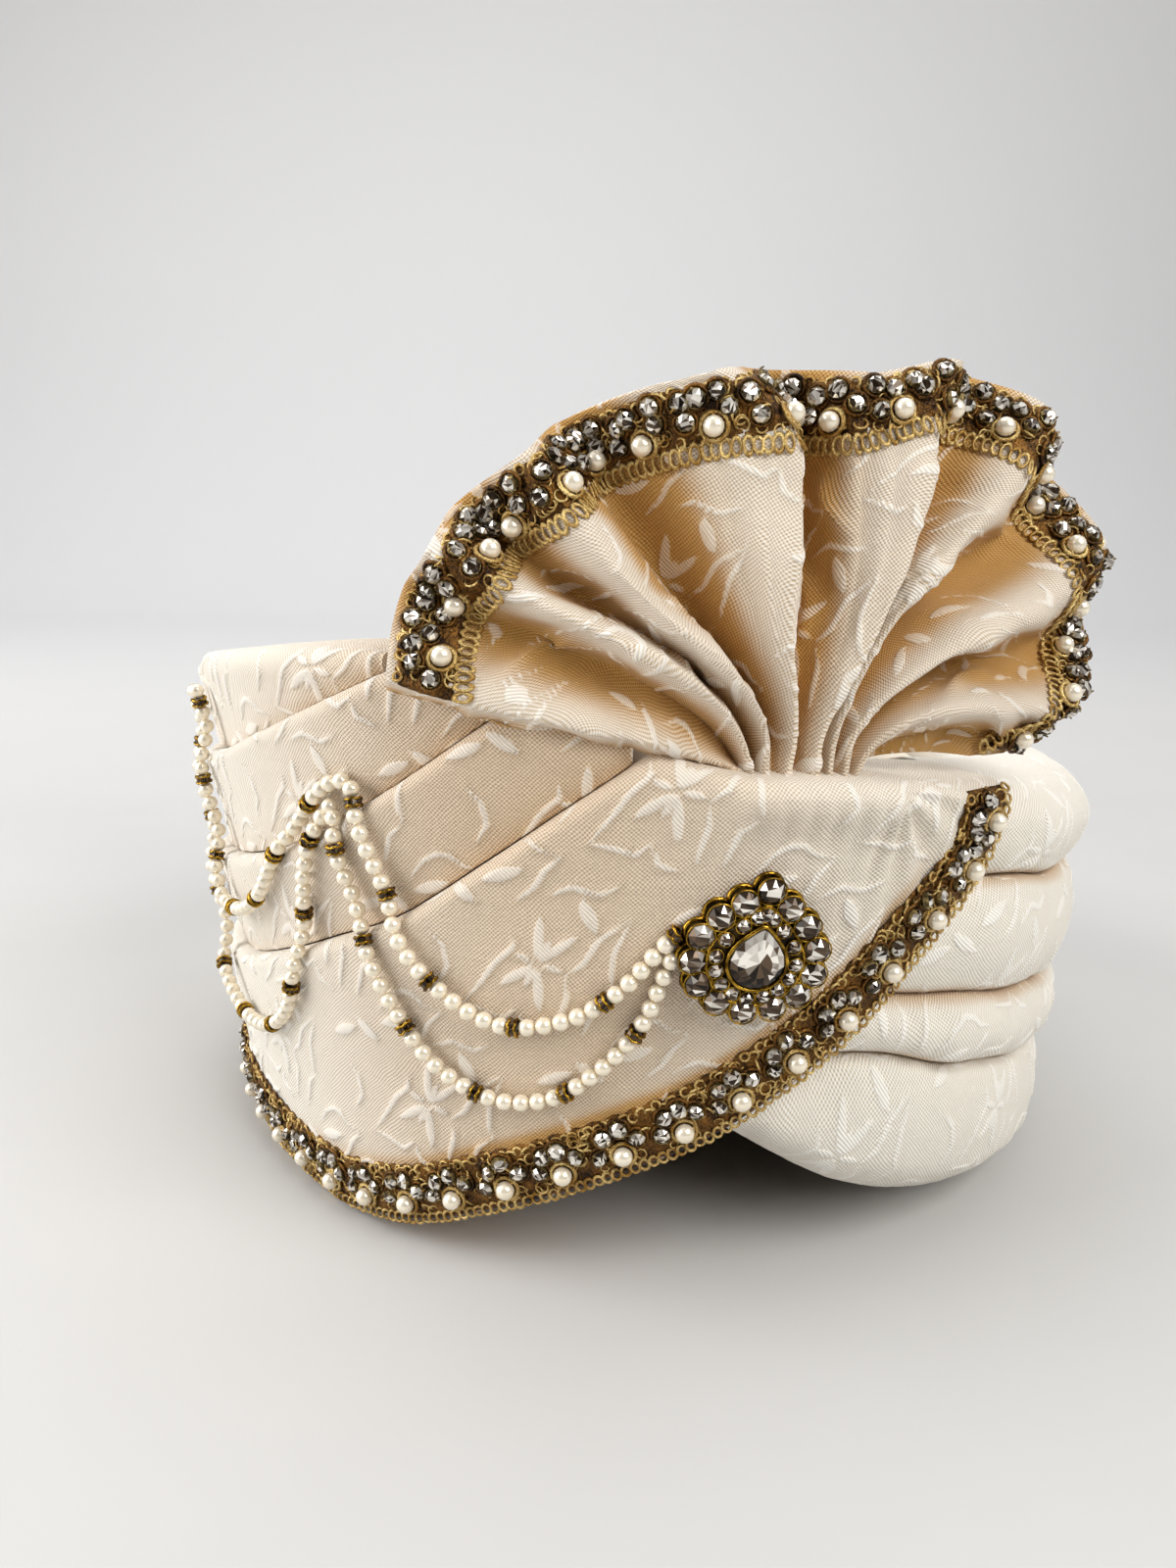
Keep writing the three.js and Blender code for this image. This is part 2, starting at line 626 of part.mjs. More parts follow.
// Stands the brooch's own plane on the cloth.
function onCloth(mesh) {
  const offset = clothOffset(BROOCH_DIRECTION + 360, BROOCH_HEIGHT) + BROOCH_STAND_OFF;
  const place = bodyPoint(BROOCH_DIRECTION, offset, BROOCH_HEIGHT);
  const upward = new THREE.Vector3(0, -FLARE, 1).normalize();
  const right = new THREE.Vector3(1, 0, 0);
  const out = new THREE.Vector3().crossVectors(right, upward);
  mesh.matrix.makeBasis(right, upward, out);
  mesh.matrix.multiply(new THREE.Matrix4().makeRotationZ(BROOCH_LEAN));
  mesh.matrix.setPosition(place);
  mesh.matrix.decompose(mesh.position, mesh.quaternion, mesh.scale);
  return mesh;
}

const turban = new THREE.Group();
turban.name = "turban";
turban.add(named("crown", capGeometry(), CAP_CLOTH));
for (const fold of FOLDS) {
  turban.add(named(fold.name, foldGeometry(fold), CLOTH));
}
turban.add(named("fan", fanGeometry(), CLOTH));
turban.add(named("fan_trim", fanTrimGeometry(), GOLD_LACE));
turban.add(named("wrap_trim", wrapTrimGeometry(), GOLD_LACE));
turban.add(onCloth(named("brooch", broochGeometry(), GOLD)));
turban.add(onCloth(named("brooch_stone", broochStoneGeometry(), CRYSTAL)));
turban.add(named("strand_upper", strandGeometry(STRAND_UPPER), PEARLS));
turban.add(named("strand_lower", strandGeometry(STRAND_LOWER), PEARLS));

const whole = new THREE.Group();
turban.position.copy(CENTRE_SHIFT);
whole.add(turban);
export default whole;
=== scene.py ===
# %% [markdown]
# # A tied turban in cream jacquard
#
# The turban is a cap with four padded folds of figured cream cloth wound round it. A pleated fan
# stands at the front. Jewelled gold edging follows the fan and the lower edge of the front panel,
# a stone brooch sits in the middle, and two strings of pearls hang in swags on one side.
# The measured solids are loaded first. Every cloth piece is then made again over its solid, finer
# and softer, from the same sizes in millimetres.

# %% Load the measured frame
import math

import bpy
import numpy as np
from mathutils import Matrix


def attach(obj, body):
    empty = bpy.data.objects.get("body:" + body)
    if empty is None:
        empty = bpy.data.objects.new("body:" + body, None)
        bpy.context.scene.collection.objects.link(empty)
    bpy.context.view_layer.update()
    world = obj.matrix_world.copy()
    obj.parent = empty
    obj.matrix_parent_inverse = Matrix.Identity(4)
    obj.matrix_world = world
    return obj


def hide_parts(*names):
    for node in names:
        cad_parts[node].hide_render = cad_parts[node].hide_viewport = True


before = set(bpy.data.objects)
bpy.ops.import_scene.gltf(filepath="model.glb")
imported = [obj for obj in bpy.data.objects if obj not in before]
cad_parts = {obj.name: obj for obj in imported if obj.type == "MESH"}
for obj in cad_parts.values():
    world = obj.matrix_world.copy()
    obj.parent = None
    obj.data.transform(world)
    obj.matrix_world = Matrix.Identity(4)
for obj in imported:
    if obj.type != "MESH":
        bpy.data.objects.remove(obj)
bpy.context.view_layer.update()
MM = 0.001
# The tables below start from the cap's own middle. This moves them to the frame's origin, in mm.
CENTRE_SHIFT = np.array([0.792, 3.133, 0.0])
print("nodes", sorted(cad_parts))

# %% [markdown]
# ## Camera
#
# The picture is seen from a little above the brooch, turned slightly to the turban's right side, through a
# wide lens that is a hair out of level. A camera needs its place, the way it looks and its roll. Three
# turns one after the other could give them, but axes that are built step by step keep each angle readable.

# %% Camera at the photo's viewing angle
# Angles are in degrees, lengths in mm, the nearest distance seen in metres.
CAMERA_AROUND = -10.0
CAMERA_TURN = 8.07
CAMERA_AWAY = 375.05
CAMERA_HEIGHT = 166.22
CAMERA_PITCH = 12.7
CAMERA_ROLL = 1.4
CAMERA_LENS = 29.25
SENSOR_WIDTH = 36.0
NEAREST_SEEN = 0.01


def unit(vector):
    return np.asarray(vector, float) / np.linalg.norm(vector)


def stand(thing, axes, place):
    matrix = np.eye(4)
    matrix[:3, :3] = np.transpose(axes)
    matrix[:3, 3] = place
    thing.matrix_world = Matrix(matrix.tolist())
    bpy.context.collection.objects.link(thing)


def add_camera():
    around, turn, pitch, roll = np.radians([CAMERA_AROUND, CAMERA_TURN, CAMERA_PITCH, CAMERA_ROLL])
    place = np.array([math.sin(around) * CAMERA_AWAY, -math.cos(around) * CAMERA_AWAY, CAMERA_HEIGHT])
    ahead = np.array([math.sin(turn), math.cos(turn), 0])
    right = np.array([math.cos(turn), -math.sin(turn), 0])
    up = np.array([0, 0, 1.0])
    forward = ahead * math.cos(pitch) - up * math.sin(pitch)
    level_up = ahead * math.sin(pitch) + up * math.cos(pitch)
    rolled_right = right * math.cos(roll) + level_up * math.sin(roll)
    rolled_up = level_up * math.cos(roll) - right * math.sin(roll)
    data = bpy.data.cameras.new("camera")
    data.lens = CAMERA_LENS
    data.sensor_width = SENSOR_WIDTH
    data.clip_start = NEAREST_SEEN
    camera = bpy.data.objects.new("camera", data)
    stand(camera, (rolled_right, rolled_up, -forward), (place + CENTRE_SHIFT) * MM)
    bpy.context.scene.camera = camera
    print("camera at mm", (place + CENTRE_SHIFT).round(1))


add_camera()

# %% [markdown]
# ## Colours and nodes
#
# Colours are written as sRGB hex values, the way a paint program shows them, and one function turns them
# into the linear values that Blender's sockets take. A second function adds any node with its settings
# and links and hands back one of its outputs, so a material reads as a short list.


# %% Colour and node helpers
def linear(hex_colour):
    values = [int(hex_colour[i:i + 2], 16) / 255 for i in (0, 2, 4)]
    return [v / 12.92 if v <= 0.04045 else ((v + 0.055) / 1.055) ** 2.4 for v in values] + [1.0]


def add_node(tree, kind, inputs=None, take=0, **settings):
    node = tree.nodes.new(kind)
    for name, value in settings.items():
        setattr(node, name, value)
    for socket, value in (inputs or {}).items():
        if isinstance(value, bpy.types.NodeSocket):
            tree.links.new(value, node.inputs[socket])
        else:
            node.inputs[socket].default_value = value
    return node.outputs[take]


# What a Mix node needs to mix colours instead of numbers.
COLOURS = {"data_type": "RGBA", "take": "Result"}


def new_material(name, **sockets):
    material = bpy.data.materials.new(name)
    material.use_nodes = True
    shader = material.node_tree.nodes["Principled BSDF"]
    for socket, value in sockets.items():
        shader.inputs[socket.replace("_", " ").title()].default_value = value
    return material, material.node_tree, shader


# %% [markdown]
# ## Floor and light
#
# The stage is one plain pale sheet. It runs back and then curves up, so the floor has no horizon line. The
# light is soft studio light: a large lamp on the left, one on the right that whitens the rolls, one above
# and one for the far part of the sheet. The sky is pale all round but darker in front, which gives the
# polished pieces something dark to mirror.

# %% Floor sheet
# Sizes of the stage are in metres.
FLOOR_HALF_WIDTH = 4.0
FLOOR_FRONT = -3.0
FLOOR_NEAR = 0.3
FLOOR_BACK = 1.3
FLOOR_BEND = 0.5
FLOOR_BEND_STEP = 6
FLOOR_TOP = 3.0
FLOOR_CLOUD = 0.111
FLOOR_NEAR_TINTS = ("BEBDBB", "C6C5C3")
FLOOR_FAR_TINT = "E8E8E8"


def floor_material():
    # Matte sheet: no gloss and only faint clouds, so the eye takes it for a plain surface.
    material, tree, shader = new_material("white_cotton_floor_sheet", roughness=0.9)
    place = add_node(tree, "ShaderNodeTexCoord", take="Object")
    cloudy = add_node(tree, "ShaderNodeTexNoise", {
        "Vector": place, "Scale": 1 / FLOOR_CLOUD, "Detail": 3.0}, take="Fac")
    first, second = FLOOR_NEAR_TINTS
    near = add_node(tree, "ShaderNodeMix", {
        "Factor": cloudy, "A": linear(first), "B": linear(second)}, **COLOURS)
    away = add_node(tree, "ShaderNodeSeparateXYZ", {"Vector": place}, take="Y")
    far = add_node(tree, "ShaderNodeMapRange", {
        "Value": away, "From Min": FLOOR_NEAR, "From Max": FLOOR_BACK})
    tint = add_node(tree, "ShaderNodeMix", {
        "Factor": far, "A": near, "B": linear(FLOOR_FAR_TINT)}, **COLOURS)
    tree.links.new(tint, shader.inputs["Base Color"])
    return material


def add_floor():
    bend = [math.radians(a) for a in range(0, 91, FLOOR_BEND_STEP)]
    profile = [(FLOOR_FRONT, 0.0)]
    profile += [(FLOOR_BACK + FLOOR_BEND * math.sin(a), FLOOR_BEND * (1 - math.cos(a))) for a in bend]
    profile.append((FLOOR_BACK + FLOOR_BEND, FLOOR_TOP))
    points = [(x, y, z) for y, z in profile for x in (-FLOOR_HALF_WIDTH, FLOOR_HALF_WIDTH)]
    faces = [(2 * i, 2 * i + 1, 2 * i + 3, 2 * i + 2) for i in range(len(profile) - 1)]
    mesh = bpy.data.meshes.new("floor")
    mesh.from_pydata(points, [], faces)
    mesh.shade_smooth()
    mesh.materials.append(floor_material())
    floor = bpy.data.objects.new("floor", mesh)
    bpy.context.collection.objects.link(floor)
    print("floor faces", len(faces))


add_floor()

# %% Soft lamps and sky
# Columns: name, place in metres, what it looks at, size in metres, watts, colour.
LAMPS = (
    ("lamp_left", (-1.25, -0.05, 0.62), (0.0, 0.0, 0.1), 1.3, 21.5, "FFFEFD"),
    ("lamp_right", (0.62, -0.88, 0.95), (0.0, 0.0, 0.08), 0.9, 15.0, "FFFEFC"),
    ("lamp_top", (-0.1, 0.4, 1.5), (0.0, 0.0, 0.1), 1.4, 9.0, "FBFCFF"),
    ("lamp_wall", (0.8, 0.4, 1.5), (0.8, 1.8, 0.7), 2.0, 6.5, "FFFFFF"),
)
SKY_STRENGTH = 0.44
SKY_BRIGHT = "F6F7FA"
SKY_FRONT = "5A5048"
# Where the sky begins to darken and where it is darkest: 0 is sideways, 1 is straight to the front.
SKY_DARK_FROM = 0.35
SKY_DARK_FULL = 0.85


def add_lamps():
    for name, place, target, size, watts, colour in LAMPS:
        data = bpy.data.lights.new(name, "AREA")
        data.size = size
        data.energy = watts
        data.color = linear(colour)[:3]
        away = unit(np.subtract(place, target))
        side = unit(np.cross((0, 0, 1), away))
        stand(bpy.data.objects.new(name, data), (side, np.cross(away, side), away), place)
    print("lamps", [row[0] for row in LAMPS])


def add_sky():
    world = bpy.data.worlds.new("pale_studio")
    world.use_nodes = True
    tree = world.node_tree
    way = add_node(tree, "ShaderNodeTexCoord", take="Generated")
    back = add_node(tree, "ShaderNodeSeparateXYZ", {"Vector": way}, take="Y")
    front = add_node(tree, "ShaderNodeMapRange", {
        "Value": back, "From Min": -SKY_DARK_FROM, "From Max": -SKY_DARK_FULL},
        interpolation_type="SMOOTHSTEP")
    colour = add_node(tree, "ShaderNodeMix", {
        "Factor": front, "A": linear(SKY_BRIGHT), "B": linear(SKY_FRONT)}, **COLOURS)
    tree.links.new(colour, tree.nodes["Background"].inputs["Color"])
    tree.nodes["Background"].inputs["Strength"].default_value = SKY_STRENGTH
    bpy.context.scene.world = world
    bpy.context.scene.view_settings.view_transform = "Standard"


add_lamps()
add_sky()

# %% [markdown]
# ## Jacquard cloth
#
# The cloth is a cream cotton and silk jacquard: a matte basket weave with a raised vine and flower figure
# in smoother, whiter thread. A picture of cloth could paint it, but a drawn weave stays sharp and can be
# raised. Each cloth mesh carries three things: a UV map in millimetres of cloth, a "figure" value that
# says how far a point lies inside a raised thread, and a "warmth" value. That value paints
# shade into the colour, as a warm darkening in creases, fan valleys, under pleat edges and on the front, and
# adds a few warm bands of cloth. Two sine waves, one for each thread set, draw the weave on the UV map. A
# slow noise shifts them, because real threads wander. The painted shade falls more on the gaps than on the
# threads, and less on the figure.

# %% Jacquard material
# The pitches are in mm and coarser than single threads, which are too fine to show.
THREAD_PITCH = 0.9
SATIN_PITCH = 0.95
THREAD_WANDER = 1.3
WANDER_LENGTH = 9.0
# Slubs are the thicker stretches of a thread: length and width in mm, and height against the weave.
SLUB_LENGTH = 12.5
SLUB_WIDTH = 1.25
SLUB_HEIGHT = 0.6
# Heights of the crossing waves that count as a gap and as a thread.
GAP_WAVE = -0.9
THREAD_WAVE = 0.5
SATIN_GAP = -1.6
SATIN_TOP = 0.2
FIGURE_SOFT = 0.16
FIGURE_HEIGHT = 1.8
SATIN_HEIGHT = 0.35
# How much of the painted shade the figure, the threads and the gaps take: the gaps take most.
FIGURE_STAYS_WHITE = 0.5
THREAD_SHADE_SHARE = 0.8
GAP_SHADE_SHARE = 1.35
CLOTH_RELIEF = 0.0004
CLOTH_BUMP = 0.6


def thread_wave(tree, across, pitch):
    turns = add_node(tree, "ShaderNodeMath", {0: across, 1: 2 * math.pi / pitch}, operation="MULTIPLY")
    return add_node(tree, "ShaderNodeMath", {0: turns}, operation="SINE")


def weave(tree):
    place = add_node(tree, "ShaderNodeUVMap", take="UV", uv_map="cloth")
    drift = add_node(tree, "ShaderNodeTexNoise", {
        "Vector": place, "Scale": 1 / WANDER_LENGTH, "Detail": 1.0}, take="Color", noise_dimensions="2D")
    woven = add_node(tree, "ShaderNodeVectorMath", {0: drift, 1: (THREAD_WANDER,) * 3, 2: place},
                     operation="MULTIPLY_ADD")
    x = add_node(tree, "ShaderNodeSeparateXYZ", {"Vector": woven}, take="X")
    y = x.node.outputs["Y"]
    warp = thread_wave(tree, x, THREAD_PITCH)
    weft = thread_wave(tree, y, THREAD_PITCH)
    crossing = add_node(tree, "ShaderNodeMath", {0: warp, 1: weft}, operation="MULTIPLY")
    basket = add_node(tree, "ShaderNodeMapRange", {
        "Value": crossing, "From Min": GAP_WAVE, "From Max": THREAD_WAVE})
    stretched = add_node(tree, "ShaderNodeMapping", {
        "Vector": place, "Scale": (1 / SLUB_LENGTH, 1 / SLUB_WIDTH, 1.0)})
    slub = add_node(tree, "ShaderNodeTexNoise", {
        "Vector": stretched, "Scale": 1.0, "Detail": 2.0}, take="Fac", noise_dimensions="2D")
    ridges = add_node(tree, "ShaderNodeMath", {0: slub, 1: SLUB_HEIGHT, 2: basket}, operation="MULTIPLY_ADD")
    diagonal = add_node(tree, "ShaderNodeMath", {0: x, 1: y}, operation="ADD")
    return basket, ridges, thread_wave(tree, diagonal, SATIN_PITCH)


def cloth_material(name, ground, gap, thread, warm):
    # Woven cotton and silk: no gloss, a soft sheen where it turns away, and light caught by the threads.
    material, tree, shader = new_material(name, roughness=0.75, sheen_weight=0.2, sheen_roughness=0.4)
    basket, ridges, satin = weave(tree)
    inside = add_node(tree, "ShaderNodeAttribute", take="Fac", attribute_name="figure")
    figure = add_node(tree, "ShaderNodeMapRange", {
        "Value": inside, "From Min": -FIGURE_SOFT, "From Max": FIGURE_SOFT})
    raised = add_node(tree, "ShaderNodeMath", {0: satin, 1: SATIN_HEIGHT, 2: FIGURE_HEIGHT},
                      operation="MULTIPLY_ADD")
    height = add_node(tree, "ShaderNodeMix", {"Factor": figure, "A": ridges, "B": raised}, take="Result")
    plain = add_node(tree, "ShaderNodeMix", {
        "Factor": basket, "A": linear(gap), "B": linear(ground)}, **COLOURS)
    twist = add_node(tree, "ShaderNodeMapRange", {
        "Value": satin, "From Min": SATIN_GAP, "From Max": SATIN_TOP})
    rope = add_node(tree, "ShaderNodeMix", {
        "Factor": twist, "A": linear(gap), "B": linear(thread)}, **COLOURS)
    figured = add_node(tree, "ShaderNodeMix", {"Factor": figure, "A": plain, "B": rope}, **COLOURS)
    # Painted shade: the colour is multiplied towards the warm tone by the warmth value.
    warmth = add_node(tree, "ShaderNodeAttribute", take="Fac", attribute_name="warmth")
    off_figure = add_node(tree, "ShaderNodeMath", {0: figure, 1: -FIGURE_STAYS_WHITE, 2: 1.0},
                          operation="MULTIPLY_ADD")
    in_gaps = add_node(tree, "ShaderNodeMath", {0: basket, 1: THREAD_SHADE_SHARE - GAP_SHADE_SHARE, 2: GAP_SHADE_SHARE},
                       operation="MULTIPLY_ADD")
    kept = add_node(tree, "ShaderNodeMath", {0: warmth, 1: off_figure}, operation="MULTIPLY")
    share = add_node(tree, "ShaderNodeMath", {0: kept, 1: in_gaps}, operation="MULTIPLY")
    shade_tinted = add_node(tree, "ShaderNodeMix", {"Factor": share, "A": figured, "B": linear(warm)},
                      blend_type="MULTIPLY", **COLOURS)
    bump = add_node(tree, "ShaderNodeBump", {
        "Height": height, "Strength": CLOTH_BUMP, "Distance": CLOTH_RELIEF})
    tree.links.new(shade_tinted, shader.inputs["Base Color"])
    tree.links.new(bump, shader.inputs["Normal"])
    return material


# The last colour of each cloth is the tone of its painted shade.
JACQUARD = cloth_material("cream_cotton_silk_jacquard_woven", "F8F5EE", "CFC0A4", "FBF9F4", "CF9E4A")
# The shade tone of the cap cloth is a dark brown: it is painted shade on the inner face.
CAP_CLOTH = cloth_material("cream_cotton_cap_cloth_woven", "EEE6D6", "C6B490", "F4ECDC", "4A3822")
print("thread pitch mm", THREAD_PITCH, "satin pitch mm", SATIN_PITCH)

# %% [markdown]
# ## How the cloth is wound
#
# One long cloth goes round the cap and is held in four folds. On the right and at the back each fold is a
# full roll. On the left front the same folds flatten into pleats that sweep up to a gather under the fan,
# and the lowest one opens into the broad front panel. The edges between folds are heights round the cap,
# so a short table of directions and heights describes the winding. Direction 0 is the front, 90 the right
# of the photo, 180 the back, and the cloth overlaps its own start past 360.

# %% Winding table
HALF_WIDTH = 114.0
HALF_DEPTH = 129.0
FLARE = 0.1
COLUMNS = ("direction", "rim", "low", "middle", "upper", "crest", "shoulder", "foot", "ease")
WINDING = np.array([
    (-6.0, 39.0, 52.5, 70.0, 93.0, 114.0, 10.0, 10.0, 0.0),
    (0.0, 33.0, 52.2, 68.7, 92.0, 113.5, 10.0, 11.0, 0.0),
    (15.0, 16.5, 50.0, 65.0, 89.6, 112.0, 10.0, 12.0, 0.0),
    (30.0, 6.5, 42.5, 59.2, 86.4, 109.5, 12.0, 12.0, 0.0),
    (45.0, 1.5, 34.5, 53.0, 82.0, 106.0, 14.0, 12.0, 0.0),
    (60.0, 0.0, 28.5, 49.0, 77.5, 103.0, 15.0, 11.0, 0.0),
    (90.0, 0.0, 24.0, 46.0, 73.0, 99.5, 15.0, 10.0, 0.0),
    (135.0, 0.0, 24.0, 46.5, 73.0, 99.5, 14.0, 9.0, 0.0),
    (180.0, 0.0, 27.0, 52.0, 77.5, 103.0, 13.0, 7.0, 0.0),
    (225.0, 0.0, 34.0, 59.0, 84.5, 110.0, 10.0, 0.0, -2.0),
    (270.0, 0.0, 43.0, 69.0, 95.5, 121.5, 7.0, 0.0, -3.5),
    (292.0, 0.0, 50.0, 76.5, 103.5, 127.6, 6.0, 0.0, -3.5),
    (307.0, 1.0, 61.2, 86.0, 114.4, 132.0, 6.0, 0.0, -2.5),
    (316.5, 2.2, 70.2, 95.6, 122.8, 134.4, 7.0, 0.0, -1.0),
    (326.0, 6.4, 80.0, 108.0, 132.0, 135.0, 8.0, 0.0, 0.0),
    (336.0, 15.2, 95.6, 123.6, 143.0, 131.0, 10.0, 0.0, 0.0),
    (343.5, 22.2, 108.0, 135.0, 151.0, 126.0, 10.0, 0.0, 0.0),
    (350.0, 28.8, 118.4, 145.0, 158.0, 121.0, 9.0, 0.0, 0.0),
    (358.0, 37.2, 132.0, 157.0, 166.0, 115.6, 4.0, 0.0, 0.0),
    (367.3, 51.0, 148.0, 171.0, 176.0, 114.4, 4.0, 0.0, 0.0),
    (373.3, 62.0, 158.0, 180.0, 182.0, 113.4, 4.0, 0.0, 0.0),
    (378.9, 75.6, 169.0, 189.0, 188.0, 112.4, 5.0, 0.0, 0.0),
    (384.2, 88.2, 179.0, 198.0, 194.0, 111.4, 6.0, 0.0, 0.0),
    (387.0, 98.0, 184.0, 202.0, 197.0, 110.6, 6.0, 0.0, 0.0),
])


def along(table, column, at):
    # A smooth curve through the rows of a table, level with the slope between a row's neighbours.
    place = table[:, 0]
    value = table[:, column]
    slope = np.empty(len(place))
    slope[1:-1] = (value[2:] - value[:-2]) / (place[2:] - place[:-2])
    slope[0] = (value[1] - value[0]) / (place[1] - place[0])
    slope[-1] = (value[-1] - value[-2]) / (place[-1] - place[-2])
    i = np.clip(np.searchsorted(place, at) - 1, 0, len(place) - 2)
    span = place[i + 1] - place[i]
    t = np.clip((at - place[i]) / span, 0, 1)
    near = 1 - t
    bend = span * t * near * (slope[i] * near - slope[i + 1] * t)
    return near ** 2 * (1 + 2 * t) * value[i] + t ** 2 * (3 - 2 * t) * value[i + 1] + bend


def winding(column, direction):
    return along(WINDING, COLUMNS.index(column), np.asarray(direction, float))


def body_points(direction, offset, height):
    turn = np.radians(direction)
    points = [(HALF_WIDTH + offset) * np.sin(turn), -(HALF_DEPTH + offset) * np.cos(turn), height]
    return np.stack(np.broadcast_arrays(*points), axis=-1)


print("crest from", WINDING[:, 5].min(), "to", WINDING[:, 5].max(), "mm high")

# %% [markdown]
# ## Outside of a fold
#
# A roll is a pillow: lowest at its two edges and full in the middle. A pleat is a flat band whose upper,
# folded edge stands proud of the next one. The two shapes are blended on the way round. The edges are
# deeper here than on the solids, because the dark crease between two rolls is what makes them look soft.

# %% Fold shape
# Columns: lower edge, upper edge, last direction, how far the whole fold lies in.
FOLDS = {
    "front_fold": ("rim", "low", 387.0, 0.0),
    "middle_fold": ("low", "middle", 349.0, 0.0),
    "upper_fold": ("middle", "upper", 339.0, -0.5),
    "top_fold": ("upper", "crest", 325.0, -1.5),
}
# Lengths are in mm and directions in degrees, here and in all cells below.
FOLD_GAP = 0.4
FOLD_INSIDE = -26.7
CREST_DIP = 3.0
ROLL_VALLEY = -1.4
ROLL_BULGE = 4.7
ROLL_FULLNESS = 0.7
CREASE_DEPTH = 1.2
CREASE_WIDTH = 1.2
PLEAT_FOOT = -1.6
PLEAT_LIFT = 3.8
PLEAT_EDGE_ROUND = 3.6
PANEL_FOOT = 0.5
PANEL_LIFT = 2.0
SEAM_WANDER = 0.9
SEAM_WAVES = (3.7, 10.3)
PLEATS_BEGIN = 170.0
PLEATS_FULL = 235.0
START_GAP = 0.55
START_END = 60.0
START_TUCK = 5.0
OVERLAP = 4.0
NO_EDGE = 99.0


def smoothstep(value, low, high):
    t = np.clip((value - low) / (high - low), 0, 1)
    return t * t * (3 - 2 * t)


def rounding(distance, radius):
    inside = 1 - np.clip(distance / np.maximum(radius, 0.01), 0, 1)
    return radius * (1 - np.sqrt(1 - inside ** 2))


def edge_height(name, direction):
    height = winding(name, direction)
    if name in ("rim", "crest"):
        return height
    # The length of the edge's name gives each seam a phase of its own.
    quick, slow = SEAM_WAVES
    wander = np.sin(direction / quick + len(name)) * np.sin(direction / slow + 2 * len(name))
    return height + SEAM_WANDER * wander * (1 - smoothstep(direction, PLEATS_BEGIN, PLEATS_FULL))


def fold_edges(fold, direction):
    low, high = FOLDS[fold][:2]
    crest = winding("crest", direction)
    bottom = np.clip(edge_height(low, direction), 0, crest) + (0 if low == "rim" else FOLD_GAP / 2)
    top = np.clip(edge_height(high, direction), 0, crest)
    return bottom, np.where(top >= crest, top, top - FOLD_GAP / 2)


def fold_offset(fold, direction, height):
    low, high, _, ease = FOLDS[fold]
    bottom, top = fold_edges(fold, direction)
    width = np.maximum(top - bottom, 0.1)
    across = np.clip((height - bottom) / width, 0, 1)
    crest = winding("crest", direction)
    below = across * width
    above = (1 - across) * width
    roll = ROLL_VALLEY + ROLL_BULGE * np.sin(np.pi * across) ** ROLL_FULLNESS
    if low != "rim":
        roll = roll - CREASE_DEPTH * np.exp(-(below / CREASE_WIDTH) ** 2)
    if high != "crest":
        roll = roll - CREASE_DEPTH * np.exp(-(above / CREASE_WIDTH) ** 2)
    if low == "rim":
        pleat = PANEL_FOOT + PANEL_LIFT * across
    else:
        pleat = PLEAT_FOOT + PLEAT_LIFT * across
    folded = rounding(np.where(top >= crest, NO_EDGE, above), PLEAT_EDGE_ROUND)
    flat = smoothstep(direction, PLEATS_BEGIN, PLEATS_FULL)
    offset = FLARE * height + roll * (1 - flat) + (pleat - folded) * flat
    offset = offset + winding("ease", direction) + ease
    offset = offset - rounding(crest - height, winding("shoulder", direction))
    if low == "rim":
        offset = offset - rounding(height - winding("rim", direction), winding("foot", direction))
    return offset


def cloth_offset(direction, height):
    outermost = fold_offset("top_fold", direction, height)
    for fold in ("upper_fold", "middle_fold", "front_fold"):
        top = fold_edges(fold, direction)[1]
        here = (height <= top + FOLD_GAP) & (direction <= FOLDS[fold][2] + OVERLAP)
        outermost = np.where(here, fold_offset(fold, direction, height), outermost)
    return outermost


print("folds", list(FOLDS), "with", FOLD_GAP, "mm between them")

# %% [markdown]
# ## The woven figure
#
# The figure is charted the way a weaver plans it, on one repeat: a flower with four long and four short
# petals, single leaves, and cusped vine strokes that thin out at their ends. A second copy, shifted by half
# a repeat both ways, gives the usual half drop. For every mesh point the chart returns how far it lies
# inside a thread. The mesh is lifted there, so that the figure is real relief, and the material draws the
# sharp edge.

# %% Figure chart
REPEAT = (60.0, 88.0)
FIGURE_SCALE = 0.86
FIGURE_RISE = 0.55
FIGURE_RISE_SOFT = 0.4
FIGURE_FAR = 1.5
STROKE_HALF = 0.72
STROKE_TAPER = 0.6
STROKE_TIP = 0.03
# Columns: turn of the petal in degrees, length, half width.
PETALS = (
    (4, 12.0, 1.2),
    (50, 12.0, 1.1),
    (178, 12.5, 1.25),
    (234, 11.0, 1.2),
    (28, 7.0, 0.8),
    (104, 6.0, 0.9),
    (206, 7.0, 0.8),
    (292, 6.0, 0.9),
)
PETAL_INNER = 1.2
